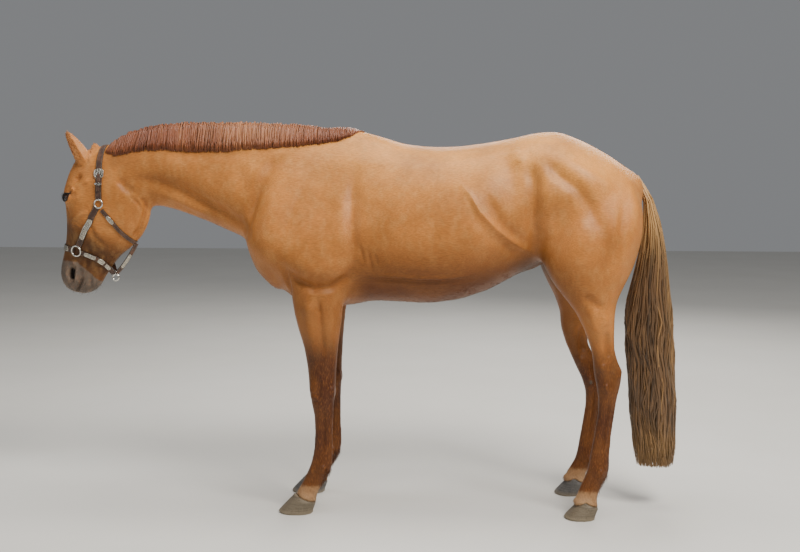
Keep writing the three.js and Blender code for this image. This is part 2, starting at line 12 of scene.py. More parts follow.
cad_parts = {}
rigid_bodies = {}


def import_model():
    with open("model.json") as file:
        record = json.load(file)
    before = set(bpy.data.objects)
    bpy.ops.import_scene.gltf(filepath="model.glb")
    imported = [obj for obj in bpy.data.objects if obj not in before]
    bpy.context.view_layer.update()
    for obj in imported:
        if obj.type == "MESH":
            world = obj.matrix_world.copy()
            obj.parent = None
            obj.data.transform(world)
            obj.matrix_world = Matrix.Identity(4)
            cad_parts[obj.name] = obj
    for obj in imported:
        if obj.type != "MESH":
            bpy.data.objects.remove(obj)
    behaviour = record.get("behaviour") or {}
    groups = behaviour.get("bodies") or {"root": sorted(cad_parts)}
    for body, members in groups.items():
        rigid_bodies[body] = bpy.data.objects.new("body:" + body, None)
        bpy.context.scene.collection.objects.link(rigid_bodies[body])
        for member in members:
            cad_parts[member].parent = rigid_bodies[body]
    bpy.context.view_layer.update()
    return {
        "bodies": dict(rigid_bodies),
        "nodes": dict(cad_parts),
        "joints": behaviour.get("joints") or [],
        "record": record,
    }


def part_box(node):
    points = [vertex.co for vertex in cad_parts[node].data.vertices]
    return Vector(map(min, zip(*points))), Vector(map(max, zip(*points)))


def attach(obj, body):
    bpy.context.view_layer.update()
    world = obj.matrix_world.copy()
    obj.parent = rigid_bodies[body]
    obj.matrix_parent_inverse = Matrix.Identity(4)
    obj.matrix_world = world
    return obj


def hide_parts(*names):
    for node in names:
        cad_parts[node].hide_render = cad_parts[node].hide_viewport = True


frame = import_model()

nodes = frame["nodes"]
sides = (("left", -1), ("right", 1))
drawingShift = np.array((0.14362, 0.0, -0.017))  # from the horse's drawing, in metres, to the frame
headTurn = dict(pivot=np.array((-1.15, 0.0, 0.0)), degrees=-9)  # the head looks a little to the right
print("frame loaded:", len(nodes), "nodes")


# Camera, floor and lights
view = dict(place=(0.4785, -4.7883, 1.451), turn=4.0, down=6.2, lens=54)
floorSize = 24
softboxes = {
    "key": dict(place=(2.6, -2.9, 5.0), aim=(0, 0, 1), size=(2.4, 1.8), power=430, colour=(1, 0.96, 0.90)),
    "fill": dict(place=(-4.2, -3, 2.6), aim=(-0.3, 0, 1), size=(2.6, 2.6), power=34, colour=(0.93, 0.96, 1)),
    "top": dict(place=(0, 0.2, 5.4), aim=(0, 0, 1), size=(4.0, 2.0), power=200, colour=(1, 0.98, 0.94)),
    "back": dict(place=(1.5, 4.6, 3.6), aim=(0, 0, 1), size=(3.4, 2.2), power=150, colour=(1, 0.97, 0.92)),
}


def addLight(name, place, aim, size, power, colour):
    light = bpy.data.lights.new(name, "AREA")
    light.shape = "RECTANGLE"
    light.size, light.size_y = size
    light.energy = power
    light.color = colour
    lamp = bpy.data.objects.new(name, light)
    lamp.location = place
    lamp.rotation_euler = (Vector(aim) - Vector(place)).to_track_quat("-Z", "Y").to_euler()
    bpy.context.scene.collection.objects.link(lamp)
    return lamp


def addCamera():
    data = bpy.data.cameras.new("camera")
    data.lens = view["lens"]
    data.sensor_width = 36
    camera = bpy.data.objects.new("camera", data)
    camera.location = view["place"]
    turn, down = math.radians(view["turn"]), math.radians(view["down"])
    ahead = Vector((-math.sin(turn) * math.cos(down), math.cos(turn) * math.cos(down), -math.sin(down)))
    camera.rotation_euler = ahead.to_track_quat("-Z", "Y").to_euler()
    bpy.context.scene.collection.objects.link(camera)
    bpy.context.scene.camera = camera


addCamera()
for lightName, lightFacts in softboxes.items():
    addLight(lightName, **lightFacts)


# Places: numpy arrays of points in metres, in the frame or on the drawing
def smoothStep(low, high, value):
    t = np.clip((np.asarray(value, float) - low) / (high - low), 0, 1)
    return t * t * (3 - 2 * t)


def bell(value, middle, reach):
    return np.exp(-(((np.asarray(value, float) - middle) / reach) ** 2))


def turnedAboutPoll(points, degrees):
    p = np.atleast_2d(np.asarray(points, float)) - headTurn["pivot"]
    c, s = math.cos(math.radians(degrees)), math.sin(math.radians(degrees))
    turned = np.stack((p[:, 0] * c - p[:, 1] * s, p[:, 0] * s + p[:, 1] * c, p[:, 2]), 1)
    return turned + headTurn["pivot"]


def headToFrame(points):
    return turnedAboutPoll(points, headTurn["degrees"]) + drawingShift


def frameToHead(places):
    return turnedAboutPoll(np.atleast_2d(places) - drawingShift, -headTurn["degrees"])


# Meshes
def newObject(name, mesh):
    obj = bpy.data.objects.new(name, mesh)
    bpy.context.scene.collection.objects.link(obj)
    return obj


def meshFrom(bm, name):
    mesh = bpy.data.meshes.new(name)
    bm.to_mesh(mesh)
    bm.free()
    return mesh


def placesOf(mesh):
    places = np.empty(len(mesh.vertices) * 3, np.float32)
    mesh.vertices.foreach_get("co", places)
    return places.reshape(-1, 3).astype(float)


def setPlaces(mesh, places):
    mesh.vertices.foreach_set("co", np.ascontiguousarray(places, np.float32).ravel())
    mesh.update()


def normalsOf(mesh):
    normals = np.empty(len(mesh.vertices) * 3, np.float32)
    mesh.vertex_normals.foreach_get("vector", normals)
    return normals.reshape(-1, 3).astype(float)


def shadeSmooth(mesh):
    mesh.polygons.foreach_set("use_smooth", np.ones(len(mesh.polygons), bool))
    mesh.update()


def applyModifiers(obj):
    graph = bpy.context.evaluated_depsgraph_get()
    mesh = bpy.data.meshes.new_from_object(obj.evaluated_get(graph))
    old = obj.data
    obj.modifiers.clear()
    obj.data = mesh
    bpy.data.meshes.remove(old)
    return mesh


def weightGroup(obj, name, weights, levels=40):
    group = obj.vertex_groups.new(name=name)
    steps = np.round(np.clip(weights, 0, 1) * levels).astype(int)
    for step in range(1, levels + 1):
        members = np.nonzero(steps == step)[0]
        if len(members):
            group.add(members.tolist(), step / levels, "REPLACE")
    return group.name


def relax(obj, rounds, weights, factor=0.8):
    smooth = obj.modifiers.new("relax", "SMOOTH")
    smooth.factor = factor
    smooth.iterations = rounds
    smooth.vertex_group = weightGroup(obj, "relax", weights)
    mesh = applyModifiers(obj)
    obj.vertex_groups.clear()
    return mesh


def remeshed(obj, voxel):
    remesh = obj.modifiers.new("remesh", "REMESH")
    remesh.mode = "VOXEL"
    remesh.voxel_size = voxel
    return applyModifiers(obj)


def joinedCopies(names, swell):
    whole = bmesh.new()
    for name in names:
        one = bmesh.new()
        one.from_mesh(nodes[name].data)
        bmesh.ops.remove_doubles(one, verts=one.verts, dist=1e-5)
        one.normal_update()
        for vert in one.verts:
            vert.co += vert.normal * swell
        mesh = meshFrom(one, "copy")
        whole.from_mesh(mesh)
        bpy.data.meshes.remove(mesh)
    return meshFrom(whole, "joined")


def lengthsAlong(points):
    steps = np.linalg.norm(np.diff(points, axis=0), axis=1)
    return np.concatenate(((0,), np.cumsum(steps)))


def nearestIndex(points, places):
    tree = KDTree(len(points))
    for i, point in enumerate(points):
        tree.insert(point, i)
    tree.balance()
    return np.array([tree.find(p)[1] for p in places])


def beveled(bm, edges, offset, segments):
    bmesh.ops.bevel(
        bm, geom=edges, offset=offset, offset_type="OFFSET", segments=segments, profile=0.5,
        affect="EDGES", material=-1,
    )


class Surface:
    def __init__(self, mesh):
        self.tree = BVHTree.FromPolygons(
            placesOf(mesh).tolist(), [p.vertices[:] for p in mesh.polygons], epsilon=0
        )

    def nearest(self, place):
        return self.tree.find_nearest(Vector(place))

    def along(self, start, direction):
        return self.tree.ray_cast(Vector(start), Vector(direction))


def blurred(values, mesh, rounds):
    # each value becomes the mean of its neighbours', round after round
    edges = np.empty(len(mesh.edges) * 2, np.int32)
    mesh.edges.foreach_get("vertices", edges)
    ends = edges.reshape(-1, 2)
    source = np.concatenate((ends[:, 0], ends[:, 1]))
    order = np.argsort(source, kind="stable")
    other = np.concatenate((ends[:, 1], ends[:, 0]))[order]
    count = np.bincount(source, minlength=len(values))
    start = np.minimum(np.concatenate(((0,), np.cumsum(count)[:-1])), len(other) - 1)
    count = np.maximum(count, 1)
    for _ in range(rounds):
        values = np.add.reduceat(values[other], start, axis=0) / count
    return values


# Materials. Colours are written as they look and turned to linear here
def colour(hexText):
    values = [int(hexText[i : i + 2], 16) / 255 for i in (1, 3, 5)]
    return tuple(v / 12.92 if v <= 0.04045 else ((v + 0.055) / 1.055) ** 2.4 for v in values) + (1,)


def addNode(tree, kind, settings, sockets, output=0):
    # each socket takes a value or another node's output
    node = tree.nodes.new("ShaderNode" + kind)
    for name, value in settings.items():
        setattr(node, name, value)
    for socket, given in sockets.items():
        if isinstance(given, bpy.types.NodeSocket):
            tree.links.new(given, node.inputs[socket])
        else:
            node.inputs[socket].default_value = given
    return node.outputs[output]


def newMaterial(name, finish):
    material = bpy.data.materials.new(name)
    material.use_nodes = True
    shader = material.node_tree.nodes["Principled BSDF"]
    for socket, value in finish.items():
        shader.inputs[socket].default_value = value
    return material, material.node_tree, shader


# settings that many nodes share. A Mix node's sockets are 0 for the share and 6 and 7 for its colours, and
# its colour comes out at 2. A Map Range node's are 0 for the value, 1 and 2 for its range, 3 and 4 for the
# new range
blend = dict(data_type="RGBA")
multiply = dict(data_type="RGBA", blend_type="MULTIPLY")
soft = dict(interpolation_type="SMOOTHSTEP")
plus, minus, times, larger = (dict(operation=word) for word in ("ADD", "SUBTRACT", "MULTIPLY", "MAXIMUM"))


def zonesIn(tree, name):
    # the three zones that one mark carries
    mark = addNode(tree, "Attribute", dict(attribute_name=name), {}, "Vector")
    return [addNode(tree, "SeparateXYZ", {}, {0: mark}, axis) for axis in "XYZ"]


def cloudsOf(tree, sizes, detail=3.0, turn=(0, 0, 0)):
    # soft clouds on Object coordinates, with these sizes in millimetres along x, y and z
    spot = addNode(tree, "TexCoord", {}, {}, "Object")
    scale = [1000 / size for size in sizes]
    place = addNode(tree, "Mapping", {}, {"Vector": spot, "Rotation": turn, "Scale": scale})
    sockets = {"Vector": place, "Scale": 1.0, "Detail": detail, "Roughness": 0.55}
    return addNode(tree, "TexNoise", {}, sockets, "Fac")


def raggedEdge(tree, zone, clouds, depth, start, end):
    # the edge of a zone wanders with the clouds, as one colour of hair gives way to the next
    wander = addNode(tree, "Math", minus, {0: clouds, 1: 0.5})
    wander = addNode(tree, "Math", times, {0: wander, 1: depth})
    wander = addNode(tree, "Math", plus, {0: zone, 1: wander})
    return addNode(tree, "MapRange", soft, {0: wander, 1: start, 2: end}, "Result")


def finished(tree, shader, shade, height=None, strength=0.5, depth=0.001):
    # colour and fine relief reach the shader
    tree.links.new(shade, shader.inputs["Base Color"])
    if height is not None:
        bump = addNode(tree, "Bump", {}, {"Strength": strength, "Distance": depth, "Height": height})
        tree.links.new(bump, shader.inputs["Normal"])


# coat and skin colours. The top colour is a painted highlight, the jaw and groove colours are painted shade,
# the belly colour is darker hair and painted shade, the lid rim colour also paints shade in the nostrils
hide = dict(
    body="#BB7739", top="#CD8C43", leg="#4C260F", bellyAndUnderShade="#552B11", pastern="#BC976F", earIn="#A87248",
    jaw="#3A210D", face="#94683C", groin="#3B2418", tendon="#9C6432", cloud="#84501F", gold="#D3A062",
    muzzle="#5A4E44", lip="#74604F", rosy="#9A6A50", grooveShade="#8C6A50", horn="#4A4036", paleHorn="#6E6252",
    lidSkinAndNostrilShade="#17100D", sheen="#F4D9B4",
)


def coatColour(tree):
    # one pattern for the skin and every tuft, so that the markings meet; it holds painted shade under the jaw
    # and body and a painted highlight on the topline
    legs, bellyAndUnderShade, top = zonesIn(tree, "coatZones")
    muzzle, pastern, earIn = zonesIn(tree, "skinZones")
    jaw, face, _ = zonesIn(tree, "faceZones")
    groin = addNode(tree, "Attribute", dict(attribute_name="groinZone"), {}, "Fac")
    drifts = cloudsOf(tree, (143, 143, 143), 2.0)  # drifts of lighter and darker hair
    patches = cloudsOf(tree, (29.4, 29.4, 50))  # mottling, drawn out down the ribs
    ragged = cloudsOf(tree, (9.1, 9.1, 9.1), 2.0)  # where one colour gives way to the next
    bodyLocks = cloudsOf(tree, (16.7, 2.38, 2.38), 2.0, turn=(0, 0.30, 0))  # locks of hair on the trunk
    legLocks = cloudsOf(tree, (2.38, 2.38, 20), 2.0)
    drift = addNode(tree, "MapRange", soft, {0: drifts, 1: 0.32, 2: 0.68, 4: 0.42}, "Result")
    legEdge = raggedEdge(tree, legs, patches, 0.5, 0.12, 0.85)
    tendon = addNode(tree, "MapRange", soft, {0: legLocks, 1: 0.50, 2: 0.75, 4: 0.38}, "Result")
    tendon = addNode(tree, "Math", times, {0: legEdge, 1: tendon})
    pasternEdge = raggedEdge(tree, pastern, ragged, 0.6, 0.25, 0.85)
    offBody = addNode(tree, "Math", larger, {0: legs, 1: bellyAndUnderShade})
    onBody = addNode(tree, "Math", minus, {0: 1.0, 1: offBody})
    gold = addNode(tree, "MapRange", soft, {0: patches, 1: 0.40, 2: 0.75, 4: 0.20}, "Result")
    gold = addNode(tree, "Math", times, {0: gold, 1: onBody})
    # painted highlight: the top colour makes the crest, back and croup lighter, as where light falls from
    # above
    shade = addNode(tree, "Mix", blend, {0: top, 6: colour(hide["body"]), 7: colour(hide["top"])}, 2)
    layers = (  # each layer's colour, where it lies and how strong it is; the jaw layer is painted shade, the belly layer partly painted shade
        ("face", face, 1.0), ("jaw", jaw, 0.92), ("bellyAndUnderShade", bellyAndUnderShade, 0.90), ("leg", legEdge, 1.0),
        ("tendon", tendon, 1.0), ("pastern", pasternEdge, 0.75), ("earIn", earIn, 0.7),
        ("groin", groin, 0.85), ("cloud", drift, 1.0), ("gold", gold, 1.0),
    )
    for name, where, strength in layers:
        share = addNode(tree, "Math", times, {0: where, 1: strength})
        shade = addNode(tree, "Mix", blend, {0: share, 6: shade, 7: colour(hide[name])}, 2)
    locks = addNode(tree, "Mix", blend, {0: legs, 6: bodyLocks, 7: legLocks}, 2)
    lit = addNode(tree, "MapRange", soft, {0: locks, 1: 0.28, 2: 0.72, 3: 0.78, 4: 1.12}, "Result")
    shade = addNode(tree, "Mix", multiply, {0: 1.0, 6: shade, 7: lit}, 2)
    return shade, muzzle, ragged, patches, locks


def hideMaterial():
    # summer coat on living skin: satin with a soft sheen, bare dark skin at the lips and lids, painted shade
    # in grooves and nostrils
    material, tree, shader = newMaterial("summer_coat_on_skin", {
        "Roughness": 0.47, "IOR": 1.5, "Specular IOR Level": 0.27, "Sheen Weight": 0.04,
        "Sheen Roughness": 0.35, "Sheen Tint": colour(hide["sheen"]), "Subsurface Weight": 0.03,
        "Subsurface Scale": 0.006,
    })
    shade, muzzle, ragged, patches, locks = coatColour(tree)
    carved = addNode(tree, "Attribute", dict(attribute_name="carved"), {}, "Fac")
    horny = addNode(tree, "Attribute", dict(attribute_name="horny"), {}, "Fac")
    # dark skin of the lids, and painted shade deepening into each nostril
    lidSkinAndNostrilShade = addNode(tree, "Attribute", dict(attribute_name="dark"), {}, "Fac")
    mottled = addNode(tree, "MapRange", soft, {0: patches, 1: 0.35, 2: 0.75}, "Result")
    bare = addNode(tree, "Mix", blend, {0: mottled, 6: colour(hide["muzzle"]), 7: colour(hide["lip"])}, 2)
    rosy = addNode(tree, "MapRange", soft, {0: ragged, 1: 0.55, 2: 0.75, 4: 0.4}, "Result")
    bare = addNode(tree, "Mix", blend, {0: rosy, 6: bare, 7: colour(hide["rosy"])}, 2)
    muzzleEdge = raggedEdge(tree, muzzle, ragged, 0.7, 0.2, 0.8)
    shade = addNode(tree, "Mix", blend, {0: muzzleEdge, 6: shade, 7: bare}, 2)
    # painted shade in the sunk grooves of the carving
    grooveShade = addNode(tree, "Mix", multiply, {0: 1.0, 6: shade, 7: colour(hide["grooveShade"])}, 2)
    grooveShadeShare = addNode(tree, "Math", times, {0: carved, 1: 0.14})
    horn = addNode(tree, "Mix", blend, {0: patches, 6: colour(hide["horn"]), 7: colour(hide["paleHorn"])}, 2)
    for share, over in ((grooveShadeShare, grooveShade), (horny, horn), (lidSkinAndNostrilShade, colour(hide["lidSkinAndNostrilShade"]))):
        shade = addNode(tree, "Mix", blend, {0: share, 6: shade, 7: over}, 2)
    spot = addNode(tree, "TexCoord", {}, {}, "Object")
    creased = {"Vector": spot, "Scale": 1000 / 5.26}  # creases are 1 mm apart; drawn coarse, at 5 mm
    creases = addNode(tree, "TexVoronoi", dict(feature="DISTANCE_TO_EDGE"), creased, "Distance")
    creases = addNode(tree, "MapRange", soft, {0: creases, 1: 0.0, 2: 0.25}, "Result")
    creases = addNode(tree, "Math", times, {0: creases, 1: muzzleEdge})
    creases = addNode(tree, "Math", times, {0: creases, 1: 0.5})
    height = addNode(tree, "Math", times, {0: locks, 1: 0.6})
    height = addNode(tree, "Math", plus, {0: height, 1: creases})
    finished(tree, shader, shade, height, 0.55, 0.0016)
    return material


def tuftMaterial():
    # loose guard hairs of the same coat: each tuft a shade of its own, paler to the tip
    material, tree, shader = newMaterial("guard_hair", {
        "Roughness": 0.48, "IOR": 1.55, "Specular IOR Level": 0.25, "Sheen Weight": 0.03,
        "Sheen Tint": colour(hide["sheen"]),
    })
    shade, muzzle, *_ = coatColour(tree)
    shade = addNode(tree, "Mix", blend, {0: muzzle, 6: shade, 7: colour(hide["lip"])}, 2)
    tint = addNode(tree, "Attribute", dict(attribute_name="tint"), {}, "Fac")
    along = addNode(tree, "Attribute", dict(attribute_name="along"), {}, "Fac")
    tint = addNode(tree, "MapRange", soft, {0: tint, 1: 0.0, 2: 1.0, 3: 0.88, 4: 1.06}, "Result")
    along = addNode(tree, "Math", times, {0: along, 1: 0.06})
    lit = addNode(tree, "Math", plus, {0: tint, 1: along})
    finished(tree, shader, addNode(tree, "Mix", multiply, {0: 1.0, 6: shade, 7: lit}, 2))
    return material


def longHairMaterial(name, dark, middle, light, tips):
    # combed horsehair: coarse, glossy strands lying together, some faded by the sun
    material, tree, shader = newMaterial(name, {
        "Roughness": 0.44, "IOR": 1.55, "Specular IOR Level": 0.45, "Sheen Weight": 0.1,
        "Sheen Tint": colour("#EBC8A0"),
    })
    onLock = addNode(tree, "UVMap", dict(uv_map="strands"), {})
    place = addNode(tree, "Mapping", {}, {"Vector": onLock, "Scale": (2, 0.8, 1)})  # 2 strands to a lock
    strands = addNode(
        tree, "TexNoise", {}, {"Vector": place, "Scale": 1.0, "Detail": 3.0, "Roughness": 0.6}, "Fac"
    )
    tint = addNode(tree, "Attribute", dict(attribute_name="tint"), {}, "Fac")
    along = addNode(tree, "Attribute", dict(attribute_name="along"), {}, "Fac")
    pale = addNode(tree, "Attribute", dict(attribute_name="pale"), {}, "Fac")
    toMiddle = addNode(tree, "MapRange", soft, {0: tint, 1: 0.05, 2: 0.55}, "Result")
    toLight = addNode(tree, "MapRange", soft, {0: tint, 1: 0.55, 2: 0.98}, "Result")
    shade = colour(dark)
    for share, over in ((toMiddle, middle), (toLight, light), (pale, tips)):
        shade = addNode(tree, "Mix", blend, {0: share, 6: shade, 7: colour(over)}, 2)
    for source, low, high, least, most in ((strands, 0.3, 0.7, 0.84, 1.12), (along, 0.0, 0.30, 0.88, 1.0)):
        lit = addNode(tree, "MapRange", soft, {0: source, 1: low, 2: high, 3: least, 4: most}, "Result")
        shade = addNode(tree, "Mix", multiply, {0: 1.0, 6: shade, 7: lit}, 2)
    finished(tree, shader, shade, strands)
    return material


def hoofMaterial(name, base, light, dark):
    # hoof horn: fine tubules running down it, growth rings round it, dry and dusty towards the ground
    material, tree, shader = newMaterial(name, {"Roughness": 0.58, "IOR": 1.54, "Specular IOR Level": 0.4})
    tubules = cloudsOf(tree, (1.54, 1.54, 38.5))  # tubules are 0.2 mm; drawn coarse so that they show
    rings = cloudsOf(tree, (125, 125, 4.76), 2.0)  # growth rings 5 mm apart
    blotches = cloudsOf(tree, (28.6, 28.6, 28.6))
    spot = addNode(tree, "TexCoord", {}, {}, "Object")
    height = addNode(tree, "SeparateXYZ", {}, {0: spot}, "Z")
    grained = addNode(tree, "MapRange", soft, {0: tubules, 1: 0.3, 2: 0.7}, "Result")
    ringed = addNode(tree, "MapRange", soft, {0: rings, 1: 0.45, 2: 0.65, 4: 0.45}, "Result")
    blotched = addNode(tree, "MapRange", soft, {0: blotches, 1: 0.55, 2: 0.8, 4: 0.5}, "Result")
    dusty = addNode(tree, "MapRange", soft, {0: height, 1: 0.022, 2: 0.0, 4: 0.55}, "Result")
    shade = colour(base)
    for share, over in ((grained, light), (ringed, dark), (blotched, light), (dusty, "#9A8C74")):
        shade = addNode(tree, "Mix", blend, {0: share, 6: shade, 7: colour(over)}, 2)
    relief = addNode(tree, "Math", times, {0: tubules, 1: 0.4})
    relief = addNode(tree, "Math", plus, {0: relief, 1: rings})
    finished(tree, shader, shade, relief, 0.6, 0.0015)
    return material


def leatherMaterial():
    # oiled bridle leather: smooth dyed face with fine grain, rubbed lighter in places and dark at the edges
    material, tree, shader = newMaterial("bridle_leather", {
        "Roughness": 0.42, "IOR": 1.5, "Specular IOR Level": 0.5, "Coat Weight": 0.12, "Coat Roughness": 0.35,
    })
    spot = addNode(tree, "TexCoord", {}, {}, "Object")
    grained = {"Vector": spot, "Scale": 1000 / 1.61}  # the grain is 0.5 mm; drawn coarse, at 1.6 mm
    grain = addNode(tree, "TexVoronoi", dict(feature="DISTANCE_TO_EDGE"), grained, "Distance")
    grain = addNode(tree, "MapRange", soft, {0: grain, 1: 0.0, 2: 0.2}, "Result")
    wear = cloudsOf(tree, (25, 25, 25), 4.0)
    rubbed = addNode(tree, "MapRange", soft, {0: wear, 1: 0.4, 2: 0.75}, "Result")
    edge = addNode(tree, "Attribute", dict(attribute_name="edge"), {}, "Fac")
    inked = addNode(tree, "MapRange", soft, {0: edge, 1: 0.72, 2: 0.98}, "Result")
    shade = colour("#3A2318")
    for share, over in ((rubbed, "#65432E"), (inked, "#1C110C")):
        shade = addNode(tree, "Mix", blend, {0: share, 6: shade, 7: colour(over)}, 2)
    finished(tree, shader, shade, grain, 0.35, 0.0006)
    return material


def threadMaterial():
    # waxed linen thread: matt, pale tan, soiled in places
    material, tree, shader = newMaterial("waxed_linen_thread", {"Roughness": 0.7, "Sheen Weight": 0.1})
    soil = cloudsOf(tree, (16.7, 16.7, 16.7), 2.0)
    shade = addNode(tree, "Mix", blend, {0: soil, 6: colour("#B9A182"), 7: colour("#8A7152")}, 2)
    finished(tree, shader, shade)
    return material


def silverMaterial(name, light, dark, roughness, brush):
    # nickel silver: bright where it is rubbed, dull grey-brown in what is cut into it
    material, tree, shader = newMaterial(name, {"Metallic": 1.0, "Roughness": roughness})
    cut = addNode(tree, "Attribute", dict(attribute_name="cut"), {}, "Fac")
    haze = cloudsOf(tree, (18.2, 18.2, 18.2), 4.0)
    dull = addNode(tree, "MapRange", soft, {0: haze, 1: 0.35, 2: 0.75, 4: 0.6}, "Result")
    shade = colour(light)
    for share, over in ((dull, "#C7BFAF"), (cut, dark)):
        shade = addNode(tree, "Mix", blend, {0: share, 6: shade, 7: colour(over)}, 2)
    worn = {0: haze, 1: 0.3, 2: 0.8, 3: roughness * 0.8, 4: roughness * 1.5}
    tree.links.new(addNode(tree, "MapRange", soft, worn, "Result"), shader.inputs["Roughness"])
    finished(tree, shader, shade, cloudsOf(tree, brush), 0.25, 0.0004)
    return material


def eyeMaterial():
    # a horse's eye: dark brown iris round a wide dark pupil, a rim of brown sclera, wet all over
    material, tree, shader = newMaterial("wet_eyeball", {
        "Roughness": 0.12, "IOR": 1.38, "Coat Weight": 1.0, "Coat Roughness": 0.03, "Coat IOR": 1.38,
    })
    ring, pupil, around = zonesIn(tree, "gaze")  # from the middle, from the pupil, and the way round
    outward = addNode(tree, "Math", times, {0: ring, 1: 0.5})
    polar = addNode(tree, "CombineXYZ", {}, {0: around, 1: outward})
    rayed = {"Vector": polar, "Scale": 9.0, "Detail": 3.0}  # the iris is threaded from the pupil outwards
    rays = addNode(tree, "TexNoise", dict(noise_dimensions="2D"), rayed, "Fac")
    fibres = addNode(tree, "MapRange", soft, {0: rays, 1: 0.35, 2: 0.7}, "Result")
    iris = addNode(tree, "Mix", blend, {0: fibres, 6: colour("#1F0F07"), 7: colour("#4A2813")}, 2)
    pastPupil = addNode(tree, "MapRange", soft, {0: pupil, 1: 0.95, 2: 1.10}, "Result")
    shade = addNode(tree, "Mix", blend, {0: pastPupil, 6: colour("#05060A"), 7: iris}, 2)
    for low, high, over in ((0.84, 0.94, "#1A100B"), (1.02, 1.16, "#3A2A1E")):
        share = addNode(tree, "MapRange", soft, {0: ring, 1: low, 2: high}, "Result")
        shade = addNode(tree, "Mix", blend, {0: share, 6: shade, 7: colour(over)}, 2)
    finished(tree, shader, shade)
    return material


def floorMaterial():
    # plain studio floor: matt pale grey, faintly clouded
    material, tree, shader = newMaterial("studio_floor", {"Roughness": 0.85})
    cloud = cloudsOf(tree, (667, 667, 667))
    shade = addNode(tree, "Mix", blend, {0: cloud, 6: colour("#C9C7C1"), 7: colour("#D3D1CC")}, 2)
    finished(tree, shader, shade)
    return material


hideMat, tuftMat = hideMaterial(), tuftMaterial()
maneMat = longHairMaterial("mane_horsehair", "#4E2212", "#7C4020", "#A4663A", "#C08456")
tailMat = longHairMaterial("tail_horsehair", "#3A2A1B", "#65492D", "#8A6840", "#C0945C")
lashMat = longHairMaterial("lash_hair", "#1B120C", "#2A1C12", "#3A281A", "#4A3524")
nearHoofMat = hoofMaterial("near_hoof_horn", "#5C5242", "#7C6F5B", "#3E372C")
# the off hooves have the same horn, darker and greyer: painted shade
offHoofShadedMat = hoofMaterial("off_hoof_horn_painted_shade", "#4A4846", "#6A6661", "#2E2D2E")
leatherMat, threadMat = leatherMaterial(), threadMaterial()
silverMat = silverMaterial("nickel_silver", "#D9D6CE", "#5B5146", 0.24, (3.33, 3.33, 25))
engravedMat = silverMaterial("engraved_silver", "#D2CCBE", "#4A4036", 0.32, (25, 25, 2))
eyeMat, floorMat = eyeMaterial(), floorMaterial()
print("materials ready")


# Skin: the flesh as one smooth surface
skin = dict(
    voxel=0.005,
    swell=0.0012,  # copies overlap a little, so that the remesh closes the cuts between them
    coatDepth=0.0015,
    triangles=192000,
    body=("barrel", "shoulders", "hindquarters", "neck", "head", "muzzle"),
    legs=("forearm", "knee", "fore_cannon", "fore_pastern", "gaskin", "hock", "hind_cannon", "hind_pastern"),
)
eye = dict(
    radius=0.021, lid=0.0024, long=0.0182, upper=0.0122, lower=0.0100, forward=20,
    corner=(-0.68, 0.0, -0.73),  # from the middle of the eye to its front corner, on the drawing
    around=0.052,  # how far the lids reach
    # folds of each lid: how high, how far from its edge and how wide
    upperFolds=((0.0016, 0.0035, 0.0026), (-0.0026, 0.0090, 0.0016), (0.0016, 0.0130, 0.0022)),
    lowerFolds=((0.0009, 0.0028, 0.0020), (-0.0011, 0.0062, 0.0013), (-0.0008, 0.0105, 0.0013)),
)
# how far the off legs stand from where the near ones do
offLeg = dict(foreElbow=-0.026, foreFoot=0.008, hindStep=-0.018, hindDrop=0.034, hindBend=-0.062)


def headSide(drawn):
    # above nothing on the head's side of a plane through the throat
    return (drawn[:, 0] + 0.950) * -0.771 + (drawn[:, 2] - 1.197) * -0.637


def legMask(drawn):
    # 1 on the legs, 0 on the trunk
    x, z = drawn[:, 0], drawn[:, 2]
    fore = 1 - smoothStep(0.80, 0.90, z)
    hind = 1 - smoothStep(0.80, 0.98, z)
    return np.where(x < 0.25, fore, hind)


def settledLeg(x, z, leg, side):
    # where a place on a near leg lies on this side's leg
    x, z = np.asarray(x, float), np.asarray(z, float)
    if side < 0:
        return x, z
    if leg == "fore":
        share = np.clip(z / 0.9, 0, 1)
        return x + offLeg["foreFoot"] + (offLeg["foreElbow"] - offLeg["foreFoot"]) * share, z
    below = smoothStep(0, 0.350, 0.950 - z)
    settled = smoothStep(0, 0.330, 1.180 - z) * smoothStep(0.060, 0.230, z)
    bend = bell(z, 0.725, 0.140)
    return x + offLeg["hindStep"] * below + offLeg["hindBend"] * bend, z - offLeg["hindDrop"] * settled


def middleOf(node):
    low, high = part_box(node)
    return np.array((low + high) / 2)


def remeshedFlesh():
    names = list(skin["body"])
    for word, _ in sides:
        names += [f"{leg}_{word}" for leg in skin["legs"]]
    flesh = bmesh.new()
    flesh.from_mesh(joinedCopies(names, skin["swell"]))
    for word, _ in sides:  # the lids are shut over the eyes at first
        around = Matrix.Translation(Vector(middleOf(f"eye_{word}")))
        lidBall = eye["radius"] + eye["lid"]
        bmesh.ops.create_uvsphere(flesh, u_segments=32, v_segments=20, radius=lidBall, matrix=around)
    obj = newObject("skin", meshFrom(flesh, "skin"))
    mesh = remeshed(obj, skin["voxel"])
    before = placesOf(mesh)
    drawn = before - drawingShift
    head = smoothStep(-0.05, 0.03, headSide(drawn))
    legs = legMask(drawn)
    # rounds of smoothing: everywhere, then less on the legs, then on the trunk alone
    relax(obj, 12, np.ones(len(drawn)))
    relax(obj, 30, 1 - legs * 0.75)
    relax(obj, 260, (1 - legs) * (1 - head))
    mesh = obj.data
    after = placesOf(mesh)
    normals = normalsOf(mesh)
    # what the smoothing took off is put back
    lost = blurred(((before - after) * normals).sum(1), mesh, 120)
    setPlaces(mesh, after + normals * lost[:, None])
    return obj


